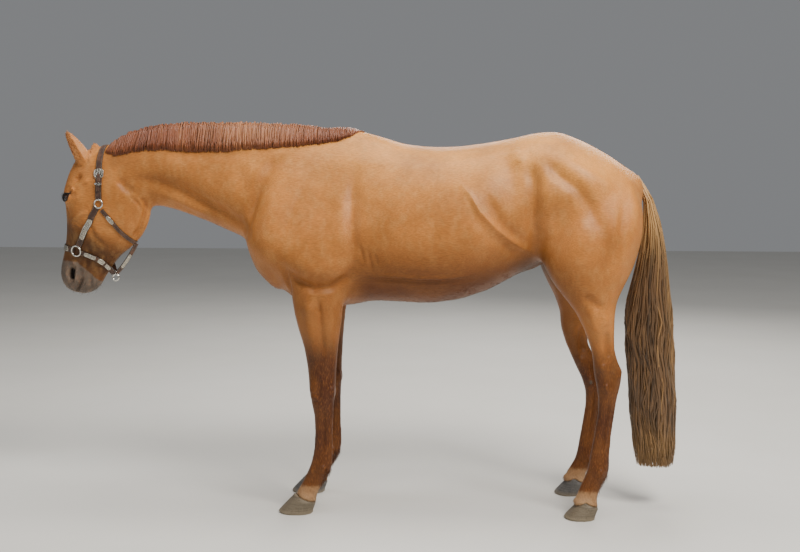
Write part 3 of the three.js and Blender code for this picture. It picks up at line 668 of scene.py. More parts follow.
def refined(obj):
    # more faces round the eyes, nostrils and mouth
    bm = bmesh.new()
    bm.from_mesh(obj.data)
    spots = []
    for word, side in sides:
        spots.append((middleOf(f"eye_{word}"), (0.052, 0.034)))
        spots.append((headToFrame([(-1.335, side * 0.045, 0.945)])[0], (0.046, 0.032)))
        spots.append((headToFrame([(-1.312, side * 0.035, 0.885)])[0], (0.040, 0.0)))
    for level in (0, 1):
        centres = np.array([f.calc_center_median()[:] for f in bm.faces])
        near = np.zeros(len(centres), bool)
        for spot, reach in spots:
            near |= np.linalg.norm(centres - spot, axis=1) < reach[level]
        bm.faces.ensure_lookup_table()
        edges = {e for i in np.nonzero(near)[0] for e in bm.faces[i].edges}
        bmesh.ops.subdivide_edges(bm, edges=list(edges), cuts=1, use_grid_fill=True, smooth=0.0)
    bm.to_mesh(obj.data)
    bm.free()


ear = dict(voxel=0.0024, swell=0.0005, root=0.009, coatDepth=0.0005)


def withEars(obj):
    skull = Surface(obj.data)
    for word, _ in sides:
        shell = newObject("ear", joinedCopies([f"ear_{word}"], ear["swell"]))
        remeshed(shell, ear["voxel"])
        relax(shell, 7, np.ones(len(shell.data.vertices)))
        places = placesOf(shell.data)
        for i, place in enumerate(places):
            hit, normal, _, apart = skull.nearest(place)
            if apart < 0.004:
                places[i] = np.array(hit - normal * ear["root"])
        setPlaces(shell.data, places)
        union = obj.modifiers.new("ear", "BOOLEAN")
        union.operation = "UNION"
        union.solver = "EXACT"
        union.object = shell
        applyModifiers(obj)
        bpy.data.objects.remove(shell)
    # soften the seam at the foot of each ear
    places = placesOf(obj.data)
    drawn = frameToHead(places)
    apart = np.full(len(places), 1.0)
    zone = np.nonzero((drawn[:, 2] > 1.33) & (headSide(drawn) > -0.05))[0]
    for i in zone:
        apart[i] = skull.nearest(places[i])[3]
    feet = places[zone][(apart[zone] > 0.0015) & (apart[zone] < 0.004)]
    tree = KDTree(len(feet))
    for i, foot in enumerate(feet):
        tree.insert(foot, i)
    tree.balance()
    weights = np.zeros(len(places))
    weights[zone] = 1 - smoothStep(0.003, 0.020, [tree.find(places[i])[2] for i in zone])
    relax(obj, 14, weights, factor=0.7)


def eyeAxes(side):
    # out of the eye, towards its front corner, and towards the upper lid, in the frame
    ahead = math.radians(eye["forward"])
    axes = np.array([(-math.sin(ahead), side * math.cos(ahead), 0.06), eye["corner"]])
    axes = turnedAboutPoll(axes + headTurn["pivot"], headTurn["degrees"]) - headTurn["pivot"]
    out = axes[0] / np.linalg.norm(axes[0])
    corner = axes[1] - out * axes[1].dot(out)
    corner /= np.linalg.norm(corner)
    upper = np.cross(out, corner)
    return out, corner, upper if upper[2] > 0 else -upper


def lidGap(u, v):
    # how far a point beside the eye is from the edge of the lids: below nothing between them
    share = np.clip(np.abs(u) / eye["long"], 0, 1)
    lidEdge = np.where(v > 0, eye["upper"] * (1 - share**2.3), eye["lower"] * (1 - share**1.8))
    return np.where(np.abs(u) < eye["long"], np.abs(v) - lidEdge, np.hypot(np.abs(u) - eye["long"], v))


def openEyes(mesh):
    places = placesOf(mesh)
    rim = np.zeros(len(places))
    lidRadius = eye["radius"] + eye["lid"]
    for word, side in sides:
        centre = middleOf(f"eye_{word}")
        out, corner, upper = eyeAxes(side)
        ray = places - centre
        near = np.nonzero(np.linalg.norm(ray, axis=1) < eye["around"])[0]
        r = np.linalg.norm(ray[near], axis=1)
        d = ray[near] / r[:, None]
        facing = d @ out
        u, v = d @ corner * eye["radius"], d @ upper * eye["radius"]
        gap = lidGap(u, v)
        onFace = smoothStep(0.05, 0.40, facing)
        shut = lidRadius + (r - lidRadius) * smoothStep(0.005, 0.021, gap)
        above = smoothStep(-0.003, 0.003, v)
        for share, folds in ((above, eye["upperFolds"]), (1 - above, eye["lowerFolds"])):
            shut += share * sum(rise * bell(gap, where, reach) for rise, where, reach in folds)
        shut += 0.0024 * above * bell(gap, 0.002, 0.003)  # the upper lid hangs over the eye
        target = np.where(gap < 0, eye["radius"] - 0.0045, shut)
        places[near] = centre + d * (r + (target - r) * onFace)[:, None]
        rim[near] = np.maximum(rim[near], onFace * (1 - smoothStep(0.0012, 0.0060, gap)))
    setPlaces(mesh, places)
    return rim


skinObject = remeshedFlesh()
refined(skinObject)
withEars(skinObject)
print("flesh joined:", len(skinObject.data.vertices), "points")


# Carving: each stroke raises or sinks the skin along a line. A row gives its reach to each side, its rise and
# its points, in millimetres: x and z in side view on the drawing, or x, y and z
carving = dict(step=0.004, lowerLeg=1.8, upperLeg=1.3, head=1.35, belowKnee=0.7)  # step in metres, and gains
bodyStrokes = [
    # front edge of the shoulder
    (24, -12, [(-406, 1451), (-445, 1425), (-491, 1394), (-543, 1306), (-572, 1202), (-578, 1120)]),
    (50, 8, [(-360, 1400), (-420, 1340), (-480, 1240), (-500, 1120)]),  # edge of the shoulder blade
    # crease under the triceps
    (17, -15, [(-425, 1004), (-379, 950), (-317, 922), (-252, 926), (-194, 962), (-161, 1015)]),
    (48, 14, [(-400, 1060), (-330, 990), (-250, 985), (-200, 1030)]),  # triceps
    (22, -9, [(-158, 1000), (-158, 1081), (-166, 1142), (-168, 1271), (-165, 1376)]),  # behind the shoulder
    (30, 6, [(-205, 1060), (-213, 1160), (-215, 1300)]),  # back of the shoulder
    (14, -3, [(-345, 1330), (-400, 1220), (-440, 1100)]),  # groove along the spine of the blade
    (13, -12, [(-433, 1010), (-426, 953), (-420, 880)]),  # before the foreleg
    (7, -5, [(-138, 1090), (-126, 1050), (-118, 1020)]),  # folds behind the elbow
    (7, -4, [(-108, 1070), (-96, 1030), (-88, 990)]),
    (7, -3, [(-80, 1060), (-70, 1010)]),
    (11, -7, [(-125, 956), (7, 955), (87, 948), (171, 948), (290, 960)]),  # edge of the belly
    (9, 4, [(-100, 972), (7, 971), (87, 965), (171, 965), (284, 976)]),
    # fold of the flank
    (11, 9, [(250, 1320), (283, 1284), (320, 1221), (384, 1154), (433, 1117), (482, 1079), (519, 1060)]),
    (18, -7, [(340, 1290), (365, 1247), (403, 1180), (459, 1128), (500, 1105)]),  # hollow of the flank
    (18, -5, [(290, 1220), (360, 1125), (430, 1075), (480, 1045)]),
    (30, 9, [(450, 1462), (464, 1433), (476, 1400)]),  # point of the hip
    # front of the thigh
    (26, -15, [(504, 1425), (509, 1377), (521, 1333), (519, 1209), (532, 1145), (526, 1070)]),
    (34, -6, [(405, 1440), (424, 1396), (443, 1347)]),  # before the hip
    (34, 7, [(566, 1330), (572, 1200), (590, 1110)]),
    (26, -13, [(560, 1415), (618, 1359), (682, 1310), (731, 1247), (752, 1180)]),  # under the croup muscle
    (40, 9, [(600, 1430), (680, 1390), (770, 1340), (830, 1280)]),  # croup muscle
    (28, -7, [(752, 1200), (779, 1162), (799, 1087), (789, 1023), (772, 959)]),  # groove of the thigh
    (55, 7, [(680, 1200), (700, 1080), (700, 990)]),  # thigh
    (28, 6, [(900, 1330), (905, 1240), (885, 1140), (850, 1030), (820, 950)]),  # buttock
    (14, -5, [(855, 1250), (850, 1170), (838, 1090), (822, 1010)]),
    (24, -15, [(-1080, 1325), (-1030, 1330), (-960, 1322), (-895, 1305), (-830, 1275), (-765, 1240),
        (-690, 1205), (-620, 1165), (-575, 1125)]),  # jugular groove
    (50, 8, [(-1000, 1400), (-880, 1370), (-770, 1320), (-660, 1265), (-590, 1220)]),  # crest of the neck
    (20, 8, [(-960, 1272), (-890, 1256), (-815, 1222), (-740, 1190)]),  # windpipe
    (22, -4, [(-955, 1455), (-850, 1440), (-700, 1435), (-550, 1440)]),  # under the mane
    (28, -5, [(-640, 1400), (-600, 1330), (-590, 1260)]),  # before the blade
]
middleStrokes = [
    (20, -22, [(-600, 0, 1180), (-605, 0, 1110), (-590, 0, 1020), (-540, 0, 940)]),  # breast
    (22, -7, [(330, 0, 1482), (450, 0, 1504), (560, 0, 1525), (680, 0, 1510), (800, 0, 1450),
        (880, 0, 1395)]),  # furrow of the croup
    (22, -22, [(940, 0, 1240), (935, 0, 1150), (915, 0, 1050), (880, 0, 980)]),  # under the tail
    (24, -8, [(-500, 0, 900), (-380, 0, 850), (-250, 0, 830)]),  # breastbone
]
foreStrokes = [
    (11, -6, [(-300, 880), (-290, 780), (-284, 690), (-285, 620)]),  # between the muscles of the forearm
    (24, 6, [(-340, 880), (-335, 780), (-322, 690)]),
    (20, 4, [(-250, 840), (-255, 760), (-258, 680)]),
    (14, 4, [(-330, 560), (-332, 520), (-326, 470)]),  # knee
    (8, -3, [(-300, 565), (-302, 520), (-298, 470)]),
    (13, 6, [(-256, 535), (-252, 505), (-256, 475)]),  # pisiform bone
    (5, -2, [(-345, 502), (-300, 500)]),  # rows of the knee's bones
    (5, -2, [(-345, 470), (-300, 468)]),
    (6, -5, [(-286, 440), (-284, 380), (-285, 320), (-290, 265)]),  # before the tendons
    (5, -2.5, [(-269, 440), (-267, 380), (-268, 320), (-272, 265)]),  # between the tendons
    (12, 5, [(-292, 218), (-290, 190), (-296, 170)]),  # sesamoid
    (10, 3, [(-335, 205), (-342, 180)]),  # fetlock
    (7, -3, [(-318, 200), (-330, 160), (-344, 130)]),  # pastern
]
hindStrokes = [
    (18, -8, [(719, 905), (750, 875), (788, 849)], True),
    (22, 6, [(735, 860), (755, 800), (775, 750)]),  # gaskin
    (20, 4, [(800, 830), (805, 780)]),
    (13, -8, [(806, 770), (812, 710), (820, 650)]),  # before the Achilles tendon
    (14, 5, [(790, 640), (795, 600)]),  # hock
    (9, -4, [(835, 610), (832, 570), (826, 530)]),
    (12, 4, [(805, 560), (815, 520)]),
    (9, 4, [(857, 625), (865, 600), (858, 570)]),  # point of the hock
    (6, -5, [(826, 500), (818, 430), (808, 350), (800, 280)]),  # before the tendons
    (5, -2.5, [(843, 480), (836, 430), (826, 350), (818, 280)]),  # between the tendons
    (12, 5, [(795, 222), (796, 198), (788, 176)]),  # sesamoid
    (7, -3, [(770, 205), (758, 165), (746, 135)]),  # pastern
]
headStrokes = [
    (9, 7, [(-1345, 1285), (-1325, 1297), (-1300, 1296), (-1280, 1284)]),  # brow
    (17, -9, [(-1288, 1345), (-1272, 1330)]),  # hollow above the eye
    (12, 6, [(-1285, 1290), (-1255, 1315), (-1222, 1335)]),  # arch behind the eye
    (16, 4, [(-1205, 1330), (-1190, 1322)]),  # jaw joint
    (18, -4, [(-1345, 1215), (-1325, 1205)]),  # below the eye
    (8, 7, [(-1225, 1205), (-1270, 1190), (-1305, 1168), (-1320, 1130)]),  # facial crest
    (16, -4, [(-1200, 1170), (-1260, 1150), (-1300, 1110)]),
    (9, -4, [(-1350, 1170), (-1362, 1110), (-1368, 1050)]),  # bridge of the nose
    (40, 6, [(-1110, 1215), (-1095, 1150), (-1130, 1090), (-1175, 1075)]),  # cheek muscle
    (12, -5, [(-1180, 1060), (-1215, 1100), (-1240, 1160)]),  # front edge of it
    (9, -7, [(-1010, 1245), (-1020, 1190), (-1045, 1130), (-1085, 1085)]),  # edge of the jaw
    (7, -5, [(-1025, 1262), (-1012, 1225), (-1005, 1200)]),
    (6, -4, [(-1060, 1262), (-1040, 1240), (-1030, 1215)]),
    (16, -8, [(-1045, 1280), (-1080, 1300), (-1110, 1340)]),  # behind the jaw
    (10, -4, [(-1240, 1060), (-1265, 1010), (-1275, 965)]),
    (9, -3, [(-1200, 1000), (-1235, 975), (-1262, 950)]),
    (12, -3, [(-1290, 1020), (-1315, 995)]),
    (9, 5, [(-1352, 978), (-1360, 952), (-1356, 918)]),  # front rim of the nostril
    (8, 6, [(-1312, 978), (-1312, 948), (-1318, 912)]),  # back rim of it
    (9, 4, [(-1332, 994), (-1318, 992)]),
    (8, -4, [(-1296, 975), (-1293, 945), (-1299, 910)]),
    (4.5, -8, [(-1338, 855), (-1324, 870), (-1311, 890), (-1298, 912), (-1285, 936)]),  # mouth
    (9, 3, [(-1372, 885), (-1345, 898), (-1320, 918), (-1305, 940)]),  # upper lip
    (9, 3, [(-1310, 872), (-1290, 895), (-1274, 925)]),  # lower lip
    (6, -2.5, [(-1283, 940), (-1270, 958)]),
    (18, 4, [(-1243, 900), (-1252, 922)]),  # chin
    (7, -3, [(-1262, 895), (-1256, 940), (-1235, 960)]),
    (4, 2, [(-1235, 1240), (-1220, 1200), (-1215, 1150)]),  # veins
    (4, 2, [(-1165, 1105), (-1215, 1125), (-1270, 1135), (-1318, 1165)]),
    (3.5, 1.5, [(-1318, 1165), (-1340, 1200)]),
]
# the horny patch inside each leg
chestnuts = [("fore", 9, 4, [(-292, 690), (-288, 650)]), ("hind", 8, 3.5, [(812, 545), (808, 520)])]
nostril = (9, -20, [(-1326, 972), (-1334, 960), (-1337, 942), (-1333, 922)])
# the breast slopes back to the legs
breast = dict(corner=(-0.550, 0.912), reach=0.075, move=(0.036, 0, 0.010))


def stepsAlong(points, spacing):
    points = np.asarray(points, float)
    at = lengthsAlong(points)
    count = max(int(at[-1] / spacing), 2)
    where = np.linspace(0, at[-1], count + 1)
    return np.stack([np.interp(where, at, points[:, i]) for i in range(points.shape[1])], 1)


def lineOnSkin(points, side, surface, place, depth=0.6, inner=None):
    # a stroke's points dropped on the skin from outside, or outwards from a plane inside the leg
    found = []
    for point in stepsAlong(points, carving["step"]):
        if len(point) == 3:
            found.append(surface.nearest(place([point])[0])[0])
            continue
        x, z = point
        start = side * depth if inner is None else side * inner
        inwards = -side if inner is None else side
        a, b = place([(x, start, z), (x, start + inwards * 0.1, z)])
        hit = surface.along(a, b - a)
        if hit[0] is not None:
            found.append(hit[0])
    return np.array([tuple(p) for p in found])


def strokeHeight(places, line, reach, rise):
    height = np.zeros(len(places))
    if len(line) < 2:
        return height
    reach, rise = reach / 1000, rise / 1000
    low, high = line.min(0) - reach * 2.4, line.max(0) + reach * 2.4
    near = np.nonzero(np.all((places > low) & (places < high), axis=1))[0]
    if not len(near):
        return height
    apart = np.linalg.norm(places[near, None] - line[None], axis=2)
    nearest = apart.argmin(1)
    t = nearest / (len(line) - 1)
    ends = 0.25 + 0.75 * smoothStep(0, 0.25, t) * smoothStep(0, 0.25, 1 - t)
    height[near] = rise * np.exp(-((apart.min(1) / reach) ** 2)) * ends
    return height


def onDrawing(points):
    return np.asarray(points, float) + drawingShift


def carve(mesh):
    places, normals = placesOf(mesh), normalsOf(mesh)
    surface = Surface(mesh)
    height = np.zeros(len(places))
    innerSide = 0.03  # strokes inside a leg start this far from the middle plane

    def legLine(points, leg, side, inner=None):
        x, z = np.array(points).T / 1000
        moved = np.stack(settledLeg(x, z, leg, side), 1)
        return lineOnSkin(moved, side, surface, onDrawing, inner=inner)

    for reach, rise, points in bodyStrokes:
        for _, side in sides:
            line = lineOnSkin(np.array(points) / 1000, side, surface, onDrawing)
            height += strokeHeight(places, line, reach, rise)
    for reach, rise, points in middleStrokes:
        line = lineOnSkin(np.array(points) / 1000, 1, surface, onDrawing)
        height += strokeHeight(places, line, reach, rise)
    for leg, strokes in (("fore", foreStrokes), ("hind", hindStrokes)):
        for reach, rise, points, *outerOnly in strokes:
            low = max(z for _, z in points) / 1000 < carving["belowKnee"]
            rise *= carving["lowerLeg"] if low else carving["upperLeg"]
            for _, side in sides:
                height += strokeHeight(places, legLine(points, leg, side), reach, rise)
                if not outerOnly:
                    height += strokeHeight(places, legLine(points, leg, side, innerSide), reach, rise)
    horny = np.zeros(len(places))
    for leg, reach, rise, points in chestnuts:
        for _, side in sides:
            one = strokeHeight(places, legLine(points, leg, side, innerSide), reach, rise)
            height += one
            horny = np.maximum(horny, smoothStep(0.35, 0.75, one / (rise / 1000)))
    inNostril = np.zeros(len(places))
    for stroke in headStrokes + [nostril]:
        reach, rise, points = stroke
        for _, side in sides:
            line = lineOnSkin(np.array(points) / 1000, side, surface, headToFrame, depth=0.35)
            one = strokeHeight(places, line, reach, rise * (1 if stroke is nostril else carving["head"]))
            height += one
            if stroke is nostril:
                inNostril = np.maximum(inNostril, one / (rise / 1000))
    places = places + normals * height[:, None]
    x, _, z = (places - drawingShift).T
    near = bell(np.hypot(x - breast["corner"][0], z - breast["corner"][1]), 0, breast["reach"])
    setPlaces(mesh, places + near[:, None] * np.array(breast["move"]))
    return height, inNostril, horny


def setMark(mesh, name, values):
    # a number, or three, kept on each point for the materials
    values = np.asarray(values, np.float32)
    kind, key = ("FLOAT", "value") if values.ndim == 1 else ("FLOAT_VECTOR", "vector")
    mark = mesh.attributes.new(name, kind, "POINT")
    mark.data.foreach_set(key, np.ascontiguousarray(values).ravel())


def coronetHeight(places, low, high):
    # the coronet slopes down to the heel, over just under half of the hoof's height
    return high[2] - (places[:, 0] - low[0]) * (high[2] - low[2]) * 0.47 / (high[0] - low[0])


def onEar(places, word, margin=0.004):
    # which points lie in the box of an ear, and how far above its foot
    low, high = map(np.array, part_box(f"ear_{word}"))
    boxed = np.all((places > low - margin) & (places < high + margin), axis=1)
    return boxed, places[:, 2] - low[2], high[2] - low[2]


def drawnBack(obj):
    # the skin draws back under the coat, then gives up the points that it doesn't need
    mesh = obj.data
    places, normals = placesOf(mesh), normalsOf(mesh)
    depth = np.full(len(places), skin["swell"] + skin["coatDepth"])
    spare = 1 - 0.75 * smoothStep(-0.05, 0.02, headSide(places - drawingShift))
    for word, _ in sides:
        apart = np.linalg.norm(places - middleOf(f"eye_{word}"), axis=1)
        depth *= smoothStep(0.024, 0.045, apart)
        spare = np.where(apart < 0.045, 0.06, spare)
        boxed, above, _ = onEar(places, word)
        depth += (ear["swell"] + ear["coatDepth"] - depth) * boxed * smoothStep(0.015, 0.035, above)
        for leg in ("fore", "hind"):
            low, high = map(np.array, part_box(f"{leg}_hoof_{word}"))
            around = np.all(np.abs(places[:, :2] - (low + high)[:2] / 2) < 0.10, axis=1)
            above = places[:, 2] - coronetHeight(places, low, high)
            depth -= around * 0.0065 * bell(above, 0.004, 0.013)  # the coronet swells over the hoof
    setPlaces(mesh, places - normals * depth[:, None])
    count = sum(len(p.vertices) - 2 for p in mesh.polygons)
    thin = obj.modifiers.new("thin", "DECIMATE")
    thin.ratio = skin["triangles"] / count
    thin.vertex_group = weightGroup(obj, "spare", spare, levels=16)
    thin.vertex_group_factor = 0.25
    applyModifiers(obj)
    obj.vertex_groups.clear()


def unwrap(obj):
    bpy.context.view_layer.objects.active = obj
    obj.select_set(True)
    bpy.ops.object.mode_set(mode="EDIT")
    bpy.ops.mesh.select_all(action="SELECT")
    bpy.ops.uv.smart_project(angle_limit=math.radians(66), island_margin=0.002)
    bpy.ops.object.mode_set(mode="OBJECT")
    obj.select_set(False)


# where the bare muzzle ends, on the drawing
muzzleLine = [
    (-1.43, 1.003), (-1.40, 1.002), (-1.31, 0.997), (-1.262, 0.955), (-1.225, 0.915), (-1.15, 0.830)
]


def zonesOf(places, normals):
    # where the coat changes: each from 0 to 1 at every place
    drawn, head = places - drawingShift, frameToHead(places)
    x, y, z = drawn.T
    onHead = smoothStep(-0.02, 0.03, headSide(drawn)) * (z > 0.83)
    foreLeg = (x < 0.10) * (1 - smoothStep(0.52, 0.87, z)) * (x > -0.6)
    hindLeg = (x > 0.45) * (1 - smoothStep(0.46, 0.90, z))
    legs = np.maximum(foreLeg, hindLeg)
    # the underside darker: partly the belly's own red-brown hair, partly painted shade under the body
    bellyAndUnderShade = (1 - smoothStep(0.92, 1.17, z)) * smoothStep(-0.26, -0.10, x) * (1 - smoothStep(0.48, 0.66, x))
    # painted shade low on the stifle and the front of the thigh, and low on the chest
    stifleShade = 0.75 * (1 - smoothStep(0.86, 1.16, z))
    stifleShade = stifleShade * smoothStep(0.40, 0.52, x) * (1 - smoothStep(0.62, 0.80, x))
    chestShade = 0.45 * (1 - smoothStep(0.94, 1.12, z)) * (x < -0.10) * smoothStep(-0.85, -0.70, x)
    groin = smoothStep(0.120, 0.02, np.hypot((x - 0.545) * 0.8, z - 0.975))
    groin = groin * smoothStep(0.26, 0.18, np.abs(y))
    bellyAndUnderShade = np.maximum(bellyAndUnderShade, np.maximum(stifleShade, chestShade))
    # painted shade on the inner faces of the legs and under the body between them
    betweenLegsShade = smoothStep(0.16, 0.04, np.abs(y)) * (1 - smoothStep(0.70, 1.05, z))
    # painted highlight along the crest, back and croup, where light falls from above
    top = smoothStep(1.15, 1.50, z) * smoothStep(-0.9, 0.1, x)
    muzzleAt = np.interp(head[:, 0], *np.array(muzzleLine).T)
    muzzle = smoothStep(0.011, -0.011, head[:, 2] - muzzleAt) * onHead
    pastern = 1 - smoothStep(0.105, 0.150, z)
    earIn = np.zeros(len(places))
    earTip = np.zeros(len(places))
    for word, side in sides:
        boxed, above, tall = onEar(places, word)
        boxed = boxed * smoothStep(0.010, 0.030, above)
        mouth = turnedAboutPoll((-0.70, side * 0.70, 0.10) + headTurn["pivot"], headTurn["degrees"])
        facing = normals @ (mouth - headTurn["pivot"])[0]  # the ear opens forwards and outwards
        earIn = np.maximum(earIn, boxed * smoothStep(0.25, 0.75, facing))
        earTip = np.maximum(earTip, boxed * smoothStep(0.4, 1.0, above / tall))
    # painted shade under the jaw and on the lower cheek
    jaw = onHead * smoothStep(0.06, -0.06, (head[:, 2] - 1.06) - (head[:, 0] + 1.13) * -0.55)
    face = onHead * smoothStep(-1.26, -1.33, head[:, 0]) * smoothStep(1.25, 1.02, head[:, 2])
    return dict(
        coatZones=np.stack((legs, np.maximum(bellyAndUnderShade, betweenLegsShade), top), 1),
        skinZones=np.stack((muzzle, pastern, earIn), 1),
        faceZones=np.stack((np.maximum(jaw, 0), face, earTip), 1),
        groinZone=groin,
    )


carved, inNostril, horny = carve(skinObject.data)
rimMark = openEyes(skinObject.data)
# how deep the skin is sunk, which the coat darkens as painted shade
setMark(skinObject.data, "carved", np.clip(-carved / 0.008, 0, 1))
# dark skin round the eyes, and painted shade in the hollow of each nostril
setMark(skinObject.data, "dark", np.maximum(rimMark, smoothStep(0.15, 0.75, inNostril)))
setMark(skinObject.data, "horny", horny)
drawnBack(skinObject)
shadeSmooth(skinObject.data)
unwrap(skinObject)
for zoneName, zoneValues in zonesOf(placesOf(skinObject.data), normalsOf(skinObject.data)).items():
    setMark(skinObject.data, zoneName, zoneValues)
skinSurface = Surface(skinObject.data)
allFlesh = list(skin["body"]) + [f"{leg}_{word}" for leg in skin["legs"] for word, _ in sides]
skinObject.data.materials.append(hideMat)
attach(skinObject, "root")
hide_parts(*allFlesh, "ear_left", "ear_right")
print("skin carved:", len(skinObject.data.polygons), "faces")


# Long and short hair: one unit lock is shaped, then laid along every path
def unitLock(segments, corners=4):
    bm = bmesh.new()
    bmesh.ops.create_cone(bm, cap_ends=True, segments=corners, radius1=0.5, radius2=0.5, depth=1)
    upright = [e for e in bm.edges if abs(e.verts[0].co.z - e.verts[1].co.z) > 0.5]
    bmesh.ops.subdivide_edges(bm, edges=upright, cuts=segments - 1)
    bmesh.ops.translate(bm, verts=bm.verts, vec=(0, 0, 0.5))
    bmesh.ops.recalc_face_normals(bm, faces=bm.faces)
    return shapeOf(bm)


def shapeOf(bm):
    bm.verts.index_update()
    corners = np.array([v.co[:] for v in bm.verts])
    faces = [[v.index for v in f.verts] for f in bm.faces]
    bm.free()
    return corners, faces


def unit(vectors):
    return vectors / np.maximum(np.linalg.norm(vectors, axis=-1, keepdims=True), 1e-9)


def joinedArray(name, faces, places):
    # places holds the corners of every copy of one shape; returns the mesh and the corner of each face loop
    count, perCopy = places.shape[:2]
    sizes = np.array([len(f) for f in faces])
    flat = np.concatenate([np.array(f) for f in faces])
    loops = (flat[None] + np.arange(count)[:, None] * perCopy).ravel()
    starts = np.concatenate(((0,), np.cumsum(np.tile(sizes, count))[:-1]))
    mesh = bpy.data.meshes.new(name)
    mesh.vertices.add(count * perCopy)
    mesh.vertices.foreach_set("co", places.astype(np.float32).ravel())
    mesh.loops.add(len(loops))
    mesh.loops.foreach_set("vertex_index", loops.astype(np.int32))
    mesh.polygons.add(len(starts))
    mesh.polygons.foreach_set("loop_start", starts.astype(np.int32))
    mesh.update(calc_edges=True)
    shadeSmooth(mesh)
    return mesh, flat


def hairMesh(name, paths, outward, widths, thicks, marks, rootUv, corners=4, patch=0.003):
    paths = np.asarray(paths, float)
    count, levels = paths.shape[:2]
    shape, faces = unitLock(levels - 1, corners)
    level = np.clip(np.round(shape[:, 2] * (levels - 1)).astype(int), 0, levels - 1)
    ahead = unit(np.gradient(paths, axis=1))
    across = unit(np.cross(ahead, np.broadcast_to(outward, paths.shape)))
    out = np.cross(across, ahead)
    wide = shape[None, :, 0, None] * np.broadcast_to(widths, (count, levels))[:, level, None]
    deep = shape[None, :, 1, None] * np.broadcast_to(thicks, (count, levels))[:, level, None]
    mesh, flat = joinedArray(name, faces, paths[:, level] + across[:, level] * wide + out[:, level] * deep)
    strand = np.stack((shape[flat, 0] + 0.5, shape[flat, 2]), 1)
    bake = mesh.uv_layers.new(name="OFBake")
    spot = np.repeat(np.asarray(rootUv, float), len(flat), 0) + (np.tile(strand, (count, 1)) - 0.5) * patch
    bake.data.foreach_set("uv", np.clip(spot, 0, 1).astype(np.float32).ravel())
    shift = np.stack((np.arange(count) * 1.37 % 50, np.arange(count) * 0.61 % 20), 1)
    hair = mesh.uv_layers.new(name="strands")
    threads = np.tile(strand, (count, 1)) + np.repeat(shift, len(flat), 0)
    hair.data.foreach_set("uv", threads.astype(np.float32).ravel())
    for key, values in marks.items():
        values = np.asarray(values, float)
        if key == "pale" and values.ndim == 2:  # this one changes along the lock
            spread = values[:, level].ravel()
        else:
            spread = np.repeat(values, len(shape), 0)
        setMark(mesh, key, spread)
    setMark(mesh, "along", np.tile(shape[:, 2], count))
    return newObject(name, mesh)


def rootsOnSkin(places):
    # where each root lies on the unwrap of the skin
    mesh = skinObject.data
    uvs = np.empty(len(mesh.loops) * 2, np.float32)
    mesh.uv_layers[0].data.foreach_get("uv", uvs)
    uvs = uvs.reshape(-1, 2)
    found = []
    for place in places:
        hit, _, index, _ = skinSurface.nearest(place)
        face = mesh.polygons[index]
        corners = [mesh.vertices[v].co for v in face.vertices[:3]]
        flat = [Vector((*uvs[loop], 0)) for loop in list(face.loop_indices)[:3]]
        found.append(barycentric_transform(hit, *corners, *flat)[:2])
    return np.array(found)


def placePiece(obj, material, slot, *replaced):
    obj.data.materials.append(material)
    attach(obj, "root")
    if replaced:
        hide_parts(*replaced)
    return obj


# Hooves: horn with growth rings, flat below
hoof = dict(voxel=0.0026, rounds=9, ringHeight=0.0005, ringSpacing=0.0062, band=0.0012, inset=0.0004)


def buildHoof(leg, word):
    obj = newObject(f"{leg}_hoof_{word}_horn", joinedCopies([f"{leg}_hoof_{word}"], 0.0003))
    mesh = remeshed(obj, hoof["voxel"])
    relax(obj, hoof["rounds"], smoothStep(0.0, 0.007, placesOf(mesh)[:, 2]))
    mesh = obj.data
    places, normals = placesOf(mesh), normalsOf(mesh)
    low, high = map(np.array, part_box(f"{leg}_hoof_{word}"))
    under = coronetHeight(places, low, high) - places[:, 2]
    wall = smoothStep(0.65, 0.35, np.abs(normals[:, 2])) * smoothStep(0.0, 0.006, places[:, 2])
    rings = under / hoof["ringSpacing"]
    wave = np.sin(rings * 2 * np.pi) + 0.5 * np.sin(rings * 3.3 + 1.0)
    push = hoof["ringHeight"] * wave * smoothStep(0.004, 0.016, under)
    push = wall * (push + hoof["band"] * bell(under, 0.003, 0.004)) - hoof["inset"]
    places += normals * push[:, None]
    places[:, 2] = np.maximum(places[:, 2], 0.0)
    setPlaces(mesh, places)
    shadeSmooth(mesh)
    # the off hooves take the darker copy of the horn, painted shade
    return placePiece(obj, nearHoofMat if word == "left" else offHoofShadedMat, "hoof", f"{leg}_hoof_{word}")


for hoofLeg in ("fore", "hind"):
    for hoofSide, _ in sides:
        buildHoof(hoofLeg, hoofSide)
print("hooves built")


# Eyes: ball with iris and pupil, and lashes along the upper lid
def buildEye(word, side):
    centre = middleOf(f"eye_{word}")
    out, corner, upper = eyeAxes(side)
    bm = bmesh.new()
    bmesh.ops.create_uvsphere(bm, u_segments=64, v_segments=48, radius=eye["radius"] - 0.0004)
    facing = Matrix((corner, upper, out)).transposed().to_4x4()
    if facing.to_3x3().determinant() < 0:
        facing = Matrix((-Vector(corner), upper, out)).transposed().to_4x4()
    ball = meshFrom(bm, f"eyeball_{word}")
    raw = placesOf(ball)
    tilt = np.hypot(raw[:, 0], raw[:, 1]) / 0.0125
    bulge = np.where(raw[:, 2] > 0, 0.0012 * (1 - smoothStep(0.0, 1.1, tilt)), 0)
    pupil = np.hypot(raw[:, 0] / 0.0072, raw[:, 1] / 0.0036)
    around = np.arctan2(raw[:, 1], raw[:, 0]) * 3
    setMark(ball, "gaze", np.stack((np.where(raw[:, 2] > 0, tilt, 2), pupil, around), 1))
    raw[:, 2] += bulge
    setPlaces(ball, raw @ np.array(facing.to_3x3()).T + centre)
    shadeSmooth(ball)
    placePiece(newObject(f"eyeball_{word}", ball), eyeMat, "eye", f"eye_{word}")


for eyeWord, eyeSide in sides:
    buildEye(eyeWord, eyeSide)
print("eyes set")


